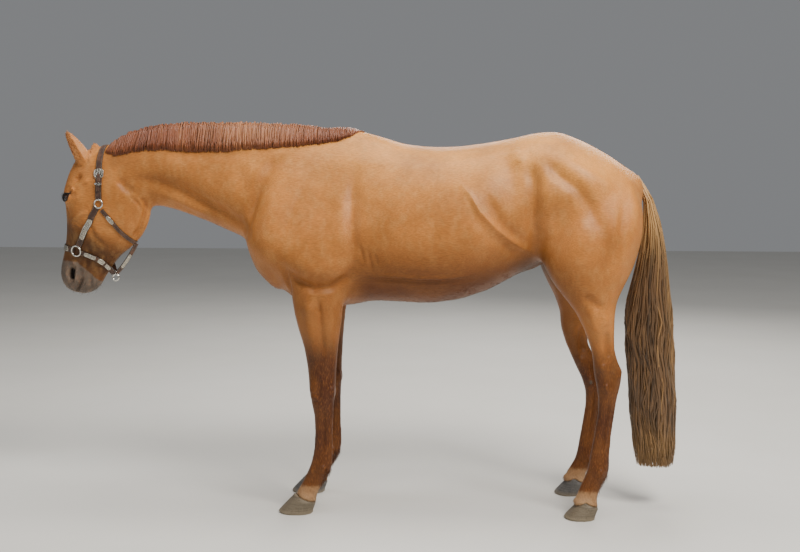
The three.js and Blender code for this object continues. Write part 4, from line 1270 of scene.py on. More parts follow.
# Halter: bands laid on the skin, sewn along both edges, with silver mounts
halter = dict(
    wide=0.025, narrow=0.017, thick=0.0038, lift=0.0008, stitch=(0.0034, 0.0008), pitch=0.0048, inset=0.0028,
    upperRing=(-1.188, 1.237), sideRing=(-1.307, 1.043), chinRing=(-1.167, 0.0, 0.932),
    wire=0.0034, upperRadius=0.0165, sideRadius=0.0210, chinRadius=0.0130,
    bars=(((-1.186, -0.010, 0.955), (-1.154, 0.010, 0.957), 0.0042),
        ((-1.168, 0, 0.957), (-1.167, 0, 0.944), 0.0036)),
    threadLift=0.0001, bandStep=0.004,
)
# the silver plates: width, thickness, relief and crown, then how square their ends are
plates = dict(
    cheek=(0.0225, 0.0012, 0.00055, 0.0010, 5.0), throat=(0.017, 0.0012, 0.0005, 0.0012, 3.0),
    nose=(0.021, 0.0012, 0.0005, 0.0010, 4.0), jaw=(0.013, 0.0011, 0.0005, 0.0008, 5.0),
    buckle=(0.040, 0.0018, 0.0007, 0.0022, 3.2), keeper=(0.029, 0.0014, 0.0003, 0.0012, 8.0),
)
# those of the chin straps: where each begins and ends along the strap, then its width
chinPlates = ((0.10, 0.42, 0.017), (0.48, 0.66, 0.020), (0.70, 0.86, 0.015))


def smoothedLine(points, rounds):
    points = np.array(points, float)
    for _ in range(rounds):
        points[1:-1] = points[1:-1] * 0.5 + (points[:-2] + points[2:]) * 0.25
    return points


def frames(points, normals):
    # a place, a direction along, one across and one outward for each step of a band
    along = unit(np.gradient(points, axis=0))
    across = unit(np.cross(along, normals))
    return points, along, across, np.cross(across, along)


def evenly(points, normals):
    lengths = lengthsAlong(points)
    where = np.linspace(0, lengths[-1], max(int(lengths[-1] / halter["bandStep"]), 3) + 1)
    return [np.stack([np.interp(where, lengths, v[:, i]) for i in range(3)], 1) for v in (points, normals)]


def skinHits(rays):
    # where rays, each given by two of its points, meet the skin, and the normals there
    found, normals = [], []
    for a, b in rays:
        hit = skinSurface.along(a, b - a)
        if hit[0] is not None:
            found.append(tuple(hit[0]))
            normals.append(tuple(hit[1]))
    return np.array(found), np.array(normals)


def alongCheek(points, side):
    line = stepsAlong(points, halter["bandStep"])
    return skinHits(headToFrame([(x, side * 0.35, z), (x, side * 0.25, z)]) for x, z in line)


def roundHead(centre, axis, fromAngle, toAngle, steps=60):
    # where a plane through the head meets the skin; 0 degrees is along the axis, 90 the off side
    axis = np.array(axis) / np.hypot(*axis)
    middle = np.array((centre[0], 0, centre[1]))
    angles = np.radians(np.linspace(fromAngle, toAngle, steps))
    aways = [(axis[0] * math.cos(a), math.sin(a), axis[1] * math.cos(a)) for a in angles]
    return skinHits(headToFrame([middle, middle + away]) for away in aways)


def taut(points, normals, rounds=14, lift=None):
    # a band pulled tight: smoothed, spaced evenly, then kept clear of the skin
    lift = halter["lift"] if lift is None else lift
    points, normals = evenly(points, unit(smoothedLine(normals, rounds)))
    points = smoothedLine(points, rounds)
    normals = unit(smoothedLine(normals, rounds))
    for _ in range(3):
        for i, (point, normal) in enumerate(zip(points, normals)):
            hit, facing, _, _ = skinSurface.nearest(point)
            clear = (Vector(point) - hit).dot(facing)
            if clear < lift:
                points[i] += normal * (lift - clear)
        points = smoothedLine(points, 2)
    return frames(points, normals)


def bandMesh(name, frame, width, thick, rows=8, crown=0.0004, profile=None):
    points, along, across, out = frame
    count = len(points)
    bm = bmesh.new()
    uv = bm.loops.layers.uv.new("band")
    bmesh.ops.create_grid(bm, x_segments=count - 1, y_segments=rows, size=1)
    length = lengthsAlong(points)
    for vert in bm.verts:
        i = int(round((vert.co.x + 1) / 2 * (count - 1)))
        t = vert.co.y
        w = width if profile is None else width * profile(i / (count - 1))
        place = points[i] + across[i] * t * w / 2 + out[i] * (thick + crown * (1 - t * t))
        vert.co = place
        for loop in vert.link_loops:
            loop[uv].uv = (length[i], t * width / 2)
    bm.normal_update()
    if sum(f.normal.dot(Vector(out[0])) for f in list(bm.faces)[:4]) < 0:
        bmesh.ops.reverse_faces(bm, faces=bm.faces)
    bmesh.ops.solidify(bm, geom=bm.faces[:], thickness=thick)
    bmesh.ops.remove_doubles(bm, verts=bm.verts, dist=1e-6)
    bmesh.ops.recalc_face_normals(bm, faces=bm.faces)
    sharp = [e for e in bm.edges if len(e.link_faces) == 2 and e.calc_face_angle() > 0.9]
    beveled(bm, sharp, min(0.0007, thick * 0.3), 2)
    mesh = meshFrom(bm, name)
    places = placesOf(mesh)
    near = nearestIndex(points, places)
    share = np.abs(((places - points[near]) * across[near]).sum(1)) / (width / 2)
    setMark(mesh, "edge", np.clip(share, 0, 1))
    setMark(mesh, "cut", np.zeros(len(places)))
    shadeSmooth(mesh)
    return mesh


stitchSpots = []


def sewn(frame, width, thick, crown=0.0004, lastStep=-2):
    # a row of stitches along each edge of a band
    lengths = lengthsAlong(frame[0])
    for where in np.arange(lengths[1], lengths[lastStep], halter["pitch"]):
        sample = [np.array([np.interp(where, lengths, v[:, i]) for i in range(3)]) for v in frame]
        for edge in (-1, 1):
            t = 1 - halter["inset"] / (width / 2)
            aside = sample[2] * edge * (width / 2 - halter["inset"])
            above = sample[3] * (thick + crown * (1 - t * t) + halter["threadLift"])
            stitchSpots.append((sample[0] + aside + above, sample[1], sample[2], sample[3]))


def strapPiece(name, frame, width, *replaced):
    mesh = bandMesh(name, frame, width, halter["thick"])
    sewn(frame, width, halter["thick"])
    return placePiece(newObject(name, mesh), leatherMat, "halter", *replaced)


def raised(frame, by):
    points, along, across, out = frame
    return points + out * by, along, across, out


def part(frame, fromShare, toShare, spacing=0.0012):
    # a stretch of a band, in finer steps
    count = len(frame[0]) - 1
    steps = max(int((toShare - fromShare) * count * halter["bandStep"] / spacing), 6)
    some = np.linspace(fromShare * count, toShare * count, steps)
    index = np.arange(count + 1)
    cut = [np.stack([np.interp(some, index, v[:, i]) for i in range(3)], 1) for v in frame]
    return cut[0], unit(cut[1]), unit(cut[2]), unit(cut[3])


def scrollwork(u, v, width):
    # engraved leaf scrolls between beaded edges, as a height from 0 to 1 and how deep it is cut
    beads = smoothStep(0.82, 0.90, np.abs(v)) * (0.6 + 0.4 * np.cos(u / 0.0026 * 2 * np.pi))
    field = 1 - smoothStep(0.72, 0.80, np.abs(v))
    leaf = 0.0130  # each scroll curls round its own middle, to one side and then the other
    turn = np.floor(u / leaf)
    side = np.where(turn % 2 == 0, 0.22, -0.22)
    du, dv = (u / leaf - turn - 0.5) * leaf / (width / 2), v - side
    curl = np.sin(np.hypot(du, dv) * 13 - np.where(side > 0, 1, -1) * np.arctan2(dv, du))
    stem = bell(v, 0.42 * np.sin(u / leaf * np.pi), 0.10)
    turns = np.maximum(curl, 2 * stem - 1)
    return np.maximum(beads, field * smoothStep(-0.3, 0.4, turns)), field * smoothStep(-0.05, -0.55, turns)


def oval(s, sharpness):
    # how wide a plate is along its length, from 0 at its ends to 1: squarer when it is sharper
    return (1 - np.minimum(np.abs(2 * s - 1), 0.9999) ** sharpness) ** (1 / sharpness)


def plateMesh(name, frame, width, thick, relief, crown, sharpness, rows=34):
    mesh = bandMesh(name, frame, width, thick, rows, crown, profile=lambda s: oval(s, sharpness))
    points, along, across, out = frame
    places = placesOf(mesh)
    near = nearestIndex(points, places)
    length = lengthsAlong(points)
    ends = oval(near / (len(points) - 1), sharpness)
    v = ((places - points[near]) * across[near]).sum(1) / (width / 2)
    u = ((places - points[near]) * along[near]).sum(1) + length[near]
    above = smoothStep(thick * 0.4, thick * 0.8, ((places - points[near]) * out[near]).sum(1))
    height, cut = scrollwork(u, v / np.maximum(ends, 0.05), width)
    setPlaces(mesh, places + out[near] * (height * above * relief * smoothStep(0.1, 0.5, ends))[:, None])
    mesh.attributes["cut"].data.foreach_set("value", (cut * above).astype(np.float32))
    return mesh


def ringMesh(name, centre, facing, radius, wire):
    facing = Vector(facing).normalized()
    side = facing.orthogonal().normalized()
    bm = bmesh.new()
    turn = Matrix((side, facing, side.cross(facing))).transposed().to_4x4()
    start = Matrix.Translation(Vector(centre) + side * radius)
    bmesh.ops.create_circle(bm, segments=14, radius=wire, matrix=start @ turn)
    bmesh.ops.spin(
        bm, geom=bm.verts[:] + bm.edges[:], cent=centre, axis=facing, angle=2 * math.pi, steps=48,
        use_merge=True,
    )
    bmesh.ops.remove_doubles(bm, verts=bm.verts, dist=1e-6)
    bmesh.ops.recalc_face_normals(bm, faces=bm.faces)
    mesh = meshFrom(bm, name)
    setMark(mesh, "cut", np.zeros(len(mesh.vertices)))
    shadeSmooth(mesh)
    return mesh


def barMesh(name, bars):
    # round bars between points of the head, their ends rounded
    whole = bmesh.new()
    for a, b, radius in bars:
        start, end = headToFrame([a, b])
        along = Vector(end - start)
        bm = bmesh.new()
        bmesh.ops.create_cone(
            bm, cap_ends=True, segments=20, radius1=radius, radius2=radius, depth=along.length
        )
        beveled(bm, [e for e in bm.edges if e.calc_face_angle() > 1.2], radius * 0.45, 3)
        turn = along.to_track_quat("Z", "Y").to_matrix().to_4x4()
        place = Matrix.Translation(Vector(start + end) / 2) @ turn
        bmesh.ops.transform(bm, verts=bm.verts, matrix=place)
        one = meshFrom(bm, "bar")
        whole.from_mesh(one)
        bpy.data.meshes.remove(one)
    mesh = meshFrom(whole, name)
    shadeSmooth(mesh)
    setMark(mesh, "cut", np.zeros(len(mesh.vertices)))
    return mesh


def mounted(name, strap, stretch, size, *replaced, above=0.0001, spacing=0.0012, metal=None):
    # a silver plate on a stretch of a strap, given as shares of its length
    spot = raised(part(strap, *stretch, spacing), halter["thick"] + above)
    plate = plateMesh(name, spot, *size)
    placePiece(newObject(name, plate), metal or engravedMat, "silver", *replaced)


def ringPiece(name, centre, facing, radius, replaced):
    mesh = ringMesh(name, centre, facing, radius, halter["wire"])
    placePiece(newObject(name, mesh), silverMat, "silver", replaced)


def tonguePoint(s):
    # the buckle's leather tongue narrows over the last of its length
    return 1.0 if s < 0.88 else max(0.25, 1 - ((s - 0.88) / 0.12) ** 2 * 0.75)


def buildStraps():
    wide, narrow = halter["wide"], halter["narrow"]
    ux, uz = halter["upperRing"]
    sx, sz = halter["sideRing"]
    # crown: up the near cheek, over the poll, down the off cheek
    up = [(ux, uz + 0.014), (-1.186, 1.340), (-1.187, 1.380)]
    offUp = alongCheek(up, 1)
    over = roundHead((-1.190, 1.375), (-0.01, 1), -82, 82)
    offDown = offUp[0][::-1], offUp[1][::-1]
    crown = taut(*[np.concatenate(v) for v in zip(alongCheek(up, -1), over, offDown)])
    strapPiece("crown_strap", crown, wide, "halter_crown")
    nose = taut(*roundHead((sx, sz), (-1.0, 0.165), -80, 80))
    strapPiece("noseband_strap", nose, wide, "halter_noseband")
    throat = taut(*roundHead((-1.186, 1.222), (0.607, -0.795), -82, 82))
    strapPiece("throat_strap", throat, narrow, "halter_throat")
    # the chin straps leave the jaw and hang down to the ring
    chins = []
    for side, name, replaced in ((-1, "near", ["halter_chin_strap"]), (1, "off", [])):
        jawLine = alongCheek([(sx + 0.016, sz - 0.006), (-1.228, 1.014), (-1.205, 0.998)], side)
        hang = headToFrame([(-1.185, side * 0.022, 0.972), (-1.172, side * 0.006, 0.950)])
        sideways = np.array([(0, side, 0)] * 2, float)
        chin = taut(np.concatenate((jawLine[0], hang)), np.concatenate((jawLine[1], sideways)))
        strapPiece(f"chin_strap_{name}", chin, wide * 0.86, *replaced)
        chins.append(chin)
    middle = len(throat[0]) // 2
    start = throat[0][middle] + throat[3][middle] * 0.004
    end = headToFrame([(-1.163, 0, 0.950)])[0]
    run = np.linspace(0, 1, 30)[:, None]
    points = start * (1 - run) + end * run + np.array((0, 0, -0.010)) * np.sin(run * np.pi)
    tilt = unit(np.array([(0.35, -0.80, -0.45)]))
    jaw = frames(points, np.repeat(tilt, 30, 0))
    strapPiece("jaw_strap", jaw, narrow, "halter_jaw_strap")
    return crown, nose, throat, jaw, chins


def buildHalter():
    crown, nose, throat, jaw, chins = buildStraps()
    wide, thick = halter["wide"], halter["thick"]
    ux, uz = halter["upperRing"]
    sx, sz = halter["sideRing"]
    for (word, side), chin in zip(sides, chins):
        cheek = taut(*alongCheek([(ux - 0.008, uz - 0.012), (sx + 0.010, sz + 0.017)], side))
        strapPiece(f"cheek_strap_{word}", cheek, wide, f"halter_cheek_{word}")
        mounted(f"cheek_plate_{word}", cheek, (0.30, 0.80), plates["cheek"], f"halter_plate_{word}")
        for ring in ("upper", "side"):
            x, z = halter[ring + "Ring"]
            spot, facing = alongCheek([(x - 0.001, z), (x + 0.001, z)], side)
            facing = unit(facing.mean(0))
            centre = spot.mean(0) + facing * (halter["wire"] + thick * 0.75)
            name = f"{ring}_ring_{word}"
            ringPiece(name + "_round", centre, facing, halter[ring + "Radius"], "halter_" + name)
        share = 0.13 if side < 0 else 0.87
        mounted(f"throat_plate_{word}", throat, (share - 0.05, share + 0.05), plates["throat"])
        for index, (first, last, width) in enumerate(chinPlates):
            size = (width, 0.0011, 0.0005, 0.0010, 3.5)
            mounted(f"chin_plate_{word}_{index}", chin, (first, last), size)
        stretch = (0.16, 0.34) if side < 0 else (0.66, 0.84)
        mounted(f"nose_plate_{word}", nose, stretch, plates["nose"])
    mounted("nose_plate_middle", nose, (0.42, 0.58), plates["nose"])
    mounted("jaw_plate", jaw, (0.30, 0.75), plates["jaw"])
    # buckle, tongue of leather and keeper on the near side of the crown, in metres from its end
    total = lengthsAlong(crown[0])[-1]
    stretch = (0.088 / total, 0.126 / total)
    mounted("crown_buckle", crown, stretch, plates["buckle"], "halter_buckle", above=0.0002, spacing=0.0009)
    tongue = raised(part(crown, 0.035 / total, 0.106 / total, 0.003), thick + 0.0024)
    tongueMesh = bandMesh("crown_tongue", tongue, 0.015, 0.0026, 6, 0.0005, profile=tonguePoint)
    sewn(tongue, 0.015, 0.0026, lastStep=-6)
    placePiece(newObject("crown_tongue", tongueMesh), leatherMat, "halter")
    stretch = (0.060 / total, 0.069 / total)
    mounted("crown_keeper", crown, stretch, plates["keeper"], above=0.0050, metal=silverMat)
    # ring under the chin, with the cross bar that the straps end in
    centre = headToFrame([halter["chinRing"]])[0]
    ringPiece("chin_ring_round", centre, (0.12, 1, 0), halter["chinRadius"], "halter_chin_ring")
    bars = barMesh("chin_cross_bar", halter["bars"])
    placePiece(newObject("chin_cross_bar", bars), silverMat, "silver")


def buildStitches():
    bm = bmesh.new()
    bmesh.ops.create_uvsphere(bm, u_segments=6, v_segments=4, radius=0.5)
    shape, faces = shapeOf(bm)
    place, along, across, out = (np.array(v) for v in zip(*stitchSpots))
    length, thick = halter["stitch"]
    wide, deep, tall = (shape[None, :, i, None] for i in range(3))
    copies = place[:, None] + tall * along[:, None] * length + wide * across[:, None] * thick
    copies = copies + deep * out[:, None] * thick * 0.8
    mesh, _ = joinedArray("halter_stitches", faces, copies)
    placePiece(newObject("halter_stitches", mesh), threadMat, "halter")


buildHalter()
buildStitches()
print("halter fitted")


# Mane: lies on the near side of the neck, cut level
mane = dict(
    locks=3600, segments=6, width=(0.0030, 0.0068), thick=0.0009, lift=(0.002, 0.014), seed=7,
    start=-1.158, end=-0.150, station=0.012,
    # its cut edge, on the drawing
    edge=[
        (-1.180, 1.440), (-1.134, 1.428), (-1.073, 1.441), (-0.951, 1.453), (-0.831, 1.446),
        (-0.710, 1.446), (-0.590, 1.454), (-0.470, 1.462), (-0.390, 1.468), (-0.311, 1.476),
        (-0.239, 1.488), (-0.185, 1.506), (-0.150, 1.530),
    ],
)


def crestArc(x, edgeHeight, points=12):
    # points over the crest from the off side down the near side to the cut edge, with their normals
    middle = onDrawing([(x, 0, 1.36)])[0]
    angles = np.radians(np.linspace(-14, 88, 52))
    aways = np.stack((angles * 0, -np.sin(angles), np.cos(angles)), 1)
    found, normals = skinHits((middle + away * 0.6, middle) for away in aways)
    low = np.nonzero((found[:, 2] < edgeHeight + drawingShift[2]) & (found[:, 1] < 0))[0]
    last = low[0] if len(low) else len(found) - 1
    found, normals = found[: last + 1], normals[: last + 1]
    lengths = lengthsAlong(found)
    where = np.linspace(0, lengths[-1], points)
    at = [np.stack([np.interp(where, lengths, v[:, i]) for i in range(3)], 1) for v in (found, normals)]
    return at


def buildMane():
    random = np.random.default_rng(mane["seed"])
    edgeX, edgeZ = np.array(mane["edge"]).T
    stations = np.arange(mane["start"] - 0.03, mane["end"] + 0.04, mane["station"])
    pairs = [crestArc(x, np.interp(x, edgeX, edgeZ)) for x in stations]
    arcs, arcNormals = (np.array(v) for v in zip(*pairs))
    count, levels = mane["locks"], mane["segments"] + 1
    x = random.uniform(mane["start"], mane["end"], count)
    begin = random.uniform(0.0, 0.34, count)
    reach = random.uniform(0.90, 1.03, count)
    lean = 0.006 * np.sin(x * 19) + random.normal(0.004, 0.005, count) - 0.020 * smoothStep(-0.88, -1.14, x)
    layer = random.uniform(0, 1, count)
    reach *= 1 - 0.10 * (random.uniform(0, 1, count) < 0.3) * random.uniform(0, 1, count)
    t = np.linspace(0, 1, levels)[None]
    share = begin[:, None] + (reach - begin)[:, None] * t
    alongX = x[:, None] + lean[:, None] * t + 0.0015 * np.sin(t * 5 + x[:, None] * 300) * t
    column = (alongX - stations[0]) / mane["station"]
    row = np.clip(share, 0, 1) * (arcs.shape[1] - 1)

    def sample(grid):
        c0 = np.clip(np.floor(column).astype(int), 0, len(stations) - 2)
        r0 = np.clip(np.floor(row).astype(int), 0, arcs.shape[1] - 2)
        fc, fr = np.clip(column - c0, 0, 1)[..., None], np.clip(row - r0, 0, 1)[..., None]
        top = grid[c0, r0] * (1 - fr) + grid[c0, r0 + 1] * fr
        low = grid[c0 + 1, r0] * (1 - fr) + grid[c0 + 1, r0 + 1] * fr
        return top * (1 - fc) + low * fc

    base, normal = sample(arcs), unit(sample(arcNormals))
    over = np.maximum(share - 1, 0)[..., None] * 0.12
    low, high = mane["lift"]
    crest = 1 - smoothStep(0.15, 0.60, share)  # it stands up a little over the crest
    fade = smoothStep(mane["end"] + 0.005, mane["end"] - 0.10, x)
    fade = (fade * smoothStep(mane["start"] - 0.01, mane["start"] + 0.08, x))[:, None]
    lift = (low + (high - low) * layer[:, None]) * smoothStep(0, 0.25, t)
    lift = lift * (1 - 0.35 * smoothStep(0.8, 1, t)) - 0.001
    lift += 0.010 * crest * smoothStep(0, 0.5, t) * layer[:, None]
    lift *= 0.35 + 0.65 * fade
    paths = base + normal * lift[..., None] + np.array((0, 0, -1.0)) * over
    wide = random.uniform(*mane["width"], count)[:, None] * (0.35 + 0.65 * smoothStep(0, 0.2, t))
    wide = wide * (1 - 0.6 * smoothStep(0.75, 1, t))
    thick = mane["thick"] * (1 - 0.5 * smoothStep(0.8, 1, t)) * np.ones((count, 1))
    bands = 0.10 * np.sin(x * 27) + 0.06 * np.sin(x * 71 + 1)
    tint = np.clip(random.normal(0.47, 0.09, count) + bands + 0.08 * (layer - 0.5), 0, 1)
    paleMiddle = 0.55 * bell(x, -0.60, 0.20) * random.uniform(0.3, 1.0, count)  # the middle of the mane is paler
    pale = paleMiddle[:, None] * smoothStep(0.0, 0.3, t) * (1 - 0.7 * smoothStep(0.6, 1.0, t))
    marks = dict(tint=tint, pale=pale)
    obj = hairMesh("mane_locks", paths, normal, wide, thick, marks, rootsOnSkin(paths[:, 0]))
    return placePiece(obj, maneMat, "mane", "mane")


maneObject = buildMane()
print("mane laid:", len(maneObject.data.polygons), "faces")


# Tail: full, cut straight, thin over the dock
tail = dict(
    locks=1750, segments=12, width=(0.005, 0.011), thick=0.0018, seed=11, inset=0.012,
    sections=[  # front edge x, back edge x, height, half width
        (0.918, 0.952, 1.350, 0.026), (0.946, 0.998, 1.290, 0.036), (0.958, 1.026, 1.206, 0.043),
        (0.954, 1.050, 1.108, 0.052), (0.934, 1.067, 1.000, 0.062), (0.900, 1.083, 0.873, 0.070),
        (0.892, 1.096, 0.735, 0.076), (0.913, 1.109, 0.513, 0.078), (0.926, 1.117, 0.332, 0.074),
        (0.944, 1.112, 0.228, 0.068), (0.955, 1.105, 0.185, 0.060),
    ],
)


def tailAt(height):
    front, back, z, half = np.array(tail["sections"])[::-1].T
    a, b, w = (np.interp(height, z, v) for v in (front, back, half))
    return (a + b) / 2, (b - a) / 2, w


def buildTail():
    random = np.random.default_rng(tail["seed"])
    count, levels = tail["locks"], tail["segments"] + 1
    angle = random.uniform(0, 2 * np.pi, count)
    rootHeight = 1.352 - 0.33 * random.uniform(0, 1, count) ** 1.2
    ringed = np.sqrt(random.uniform(0.35, 1, count))
    ragged = random.uniform(0, 1, count)
    tip = 0.190 + 0.16 * ragged ** 2.6
    t = np.linspace(0, 1, levels)[None]
    height = rootHeight[:, None] + (tip - rootHeight)[:, None] * t
    centre, deep, half = tailAt(height)
    spread = 0.45 + 0.55 * smoothStep(0, 0.14, t)
    ring = ringed[:, None] * spread
    strandPhase = random.uniform(0, 6.3, count)[:, None]
    wave = 0.09 * np.sin(height * 21 + angle[:, None] * 2) + 0.06 * np.sin(height * 47 + strandPhase)
    turn = angle[:, None] + wave * smoothStep(0.08, 0.4, t)
    ring = ring * (1 + 0.05 * np.sin(height * 33 + angle[:, None] * 4) * smoothStep(0.2, 0.5, t))
    x = centre + (deep - tail["inset"] * 0.4) * ring * np.cos(turn)
    y = (half - tail["inset"] * 0.4) * ring * np.sin(turn)
    paths = np.stack((x, y, height), 2) + drawingShift
    outward = np.stack((np.cos(turn) * half, np.sin(turn) * deep, np.zeros_like(x)), 2)
    wide = random.uniform(*tail["width"], count)[:, None] * (0.4 + 0.6 * smoothStep(0, 0.1, t))
    wide = wide * (1 - 0.75 * smoothStep(0.72, 1, t))
    thick = tail["thick"] * (1 - 0.6 * smoothStep(0.8, 1, t)) * np.ones((count, 1))
    tint = np.clip(random.normal(0.42, 0.17, count) + 0.12 * np.sin(angle * 9), 0, 1)
    golden = smoothStep(0.98, 1.22, height) * 0.85
    rear = smoothStep(0.55, 1.0, np.cos(turn)) * smoothStep(0.3, 0.75, height) * 0.30
    sunned = smoothStep(0.40, 0.21, height) * 0.85 * (0.35 + 0.65 * ragged[:, None])
    someLight = (tint > 0.72)[:, None] * 0.25
    pale = np.maximum(golden, np.maximum(rear, sunned)) + someLight * t
    marks = dict(tint=tint, pale=np.clip(pale, 0, 1))
    obj = hairMesh("tail_locks", paths, outward, wide, thick, marks, rootsOnSkin(paths[:, 0]))
    return placePiece(obj, tailMat, "tail", "tail_hair", "tail_dock")


tailObject = buildTail()
print("tail laid:", len(tailObject.data.polygons), "faces")

# Coat: short tufts that lie along the body and show where they break its outline. Lengths, widths and
# spreads are in metres, the lift in degrees
coat = {
    "coat_head": dict(count=11500, length=(0.0045, 0.0075), width=0.0008, lift=5, seed=21),
    "coat_neck_and_shoulder": dict(count=13500, length=(0.008, 0.013), width=0.0013, lift=4, seed=22),
    "coat_barrel_and_quarters": dict(count=13500, length=(0.008, 0.013), width=0.0013, lift=4, seed=23),
    "coat_legs": dict(count=13500, length=(0.006, 0.010), width=0.0011, lift=5, seed=24),
}


def layOf(places, normals):
    # which way the hair lies: back and down the body, down the legs and face, up the ears
    drawn, head = places - drawingShift, frameToHead(places)
    x, y, z = drawn.T
    one = np.ones(len(x))
    lay = np.stack((one, 0 * one, -0.45 * one), 1)

    def turnTo(direction, share):
        lay[:] = lay * (1 - share[:, None]) + np.array(direction) * share[:, None]

    turnTo((0.72, 0, -0.70), smoothStep(-0.50, -0.62, x))
    turnTo((0.10, 0, -1.0), smoothStep(-0.46, -0.56, x) * smoothStep(1.20, 1.02, z))
    turnTo((0.30, 0, -1.0), smoothStep(0.55, 0.75, x))
    onLegs = np.maximum(smoothStep(0.98, 0.86, z) * (x < 0.1), smoothStep(0.98, 0.80, z) * (x > 0.45))
    turnTo((0.10, 0, -1.0), onLegs)
    onHead = smoothStep(-0.02, 0.03, headSide(drawn)) * (z > 0.83)
    turnTo((-0.42, 0.07, -0.90), onHead * smoothStep(-1.12, -1.20, head[:, 0]))
    turnTo((0.25, -0.04, -0.97), onHead * smoothStep(-1.20, -1.12, head[:, 0]))
    for word, side in sides:
        boxed, above, _ = onEar(places, word, 0.003)
        lay[boxed & (above > 0.02)] = (-0.25, side * 0.25, 1.0)
    return unit(lay - normals * (lay * normals).sum(1)[:, None])


def skinTriangles():
    mesh = skinObject.data
    mesh.calc_loop_triangles()
    count = len(mesh.loop_triangles)
    corners, loops = np.empty(count * 3, np.int32), np.empty(count * 3, np.int32)
    mesh.loop_triangles.foreach_get("vertices", corners)
    mesh.loop_triangles.foreach_get("loops", loops)
    uvs = np.empty(len(mesh.loops) * 2, np.float32)
    mesh.uv_layers[0].data.foreach_get("uv", uvs)
    return placesOf(mesh), normalsOf(mesh), uvs.reshape(-1, 2), corners.reshape(-1, 3), loops.reshape(-1, 3)


skinFaces = skinTriangles()


def scatter(count, weightAt, random):
    # roots spread over the skin, thicker where the weight is greater: their places, their normals and
    # their spots on the unwrap
    places, normals, uvs, corners, loops = skinFaces
    a, b, c = (places[corners[:, i]] for i in range(3))
    cross = np.cross(b - a, c - a)
    area = np.linalg.norm(cross, axis=1)
    middle, facing = (a + b + c) / 3, cross / np.maximum(area, 1e-12)[:, None]
    weight = area * np.maximum(weightAt(middle, facing), 0)
    chosen = random.choice(len(corners), count, p=weight / weight.sum())
    r, q = np.sqrt(random.uniform(0, 1, count)), random.uniform(0, 1, count)
    share = np.stack((1 - r, r * (1 - q), r * q), 1)[:, :, None]
    blended = []
    for values, index in ((places, corners), (normals, corners), (uvs, loops)):
        blended.append((values[index[chosen]] * share).sum(1))
    return blended[0], unit(blended[1]), blended[2]


def tuftPiece(name, spots, sizes, random, levels=3, curl=0.0, lay=None, material=None):
    # hairs at their spots on the skin. The sizes are their lengths, their widths and how far they lift
    roots, normals, rootUv = spots
    lengths, widths, lifts = sizes
    count = len(roots)
    lay = layOf(roots, normals) if lay is None else lay
    aside = np.cross(normals, lay)
    lay = unit(lay + aside * random.normal(0, 0.13, count)[:, None])
    angle = np.radians(lifts)[:, None]
    t = np.linspace(0, 1, levels)
    rise = np.sin(angle) * (t[None] - curl * t[None] ** 2)
    ahead = lay[:, None] * (np.cos(angle) * t[None])[:, :, None]
    steps = (ahead + normals[:, None] * rise[:, :, None]) * lengths[:, None, None]
    paths = roots[:, None] + steps - normals[:, None] * 0.0005
    outward = np.repeat(normals[:, None], levels, 1)
    wide = widths[:, None] * (1 - 0.90 * t[None] ** 1.6)
    marks = dict(tint=random.uniform(0, 1, count), **zonesOf(roots, normals))
    obj = hairMesh(name, paths, outward, wide, wide * 0.35, marks, rootUv, corners=3)
    return placePiece(obj, material or tuftMat, "hide")


def headShare(places):
    drawn = places - drawingShift
    return smoothStep(0.0, 0.03, headSide(drawn)) * (drawn[:, 2] > 0.83)


def awayFromEyes(places):
    share = np.ones(len(places))
    for word, _ in sides:
        share *= np.linalg.norm(places - middleOf(f"eye_{word}"), axis=1) > 0.031
    return share


# each of these says how thick the coat is at a place, by the place and the normal there
def onHeadCoat(p, n):
    thicker = 1 + 1.2 * (n[:, 2] < -0.2) + 1.5 * (np.abs(n[:, 1]) < 0.3)
    return headShare(p) * awayFromEyes(p) * (1 - 0.92 * zonesOf(p, n)["skinZones"][:, 0]) * thicker


def onForehand(p, n):
    inFront = (p[:, 0] - drawingShift[0] < -0.15) * (p[:, 2] > 0.80)
    return (1 - headShare(p)) * inFront * (1 + 2.5 * (np.abs(n[:, 1]) < 0.35) * (n[:, 2] < 0.3))


def onBarrel(p, n):
    behind = (p[:, 0] - drawingShift[0] >= -0.15) * (p[:, 2] > 0.80)
    return behind * (1 + 2.5 * (n[:, 2] < -0.6) + 1.5 * (np.abs(n[:, 1]) < 0.3))


def onLegCoat(p, n):
    return (p[:, 2] <= 0.80) * (1 + 1.5 * (n[:, 0] > 0.5))


coatWhere = {
    "coat_head": onHeadCoat, "coat_neck_and_shoulder": onForehand,
    "coat_barrel_and_quarters": onBarrel, "coat_legs": onLegCoat,
}


def buildCoat():
    for name, facts in coat.items():
        random = np.random.default_rng(facts["seed"])
        spots = scatter(facts["count"], coatWhere[name], random)
        roots, normals, _ = spots
        count = len(roots)
        under = smoothStep(-0.3, -0.9, normals[:, 2])
        fine = 1 - 0.35 * zonesOf(roots, normals)["faceZones"][:, 2]
        lengths = random.uniform(*facts["length"], count) * (1 + 0.45 * under) * fine
        widths = facts["width"] * random.uniform(0.7, 1.3, count)
        lifts = facts["lift"] * random.uniform(0.4, 1.6, count) * (1 + 0.8 * under)
        tuftPiece(name, spots, (lengths, widths, lifts), random)


buildCoat()
print("coat laid")


# Feather: longer hair behind the cannons and fetlocks, over the coronets, in the ears and under the jaw
def within(p, low, high):
    return (p[:, 2] > low) & (p[:, 2] < high)


def onErgot(p, n):
    return within(p, 0.115, 0.185) * np.maximum(n[:, 0] - 0.45, 0)


def behindCannon(p, n):
    return within(p, 0.19, 0.46) * np.maximum(n[:, 0] - 0.70, 0)


def overCoronet(p, n):
    return within(p, 0.046, 0.105) * (1 - 0.5 * within(p, 0.085, 0.105))


def behindElbow(p, n):
    return within(p, 0.72, 0.86) * np.maximum(n[:, 0] - 0.5, 0) * (p[:, 0] < 0.2)


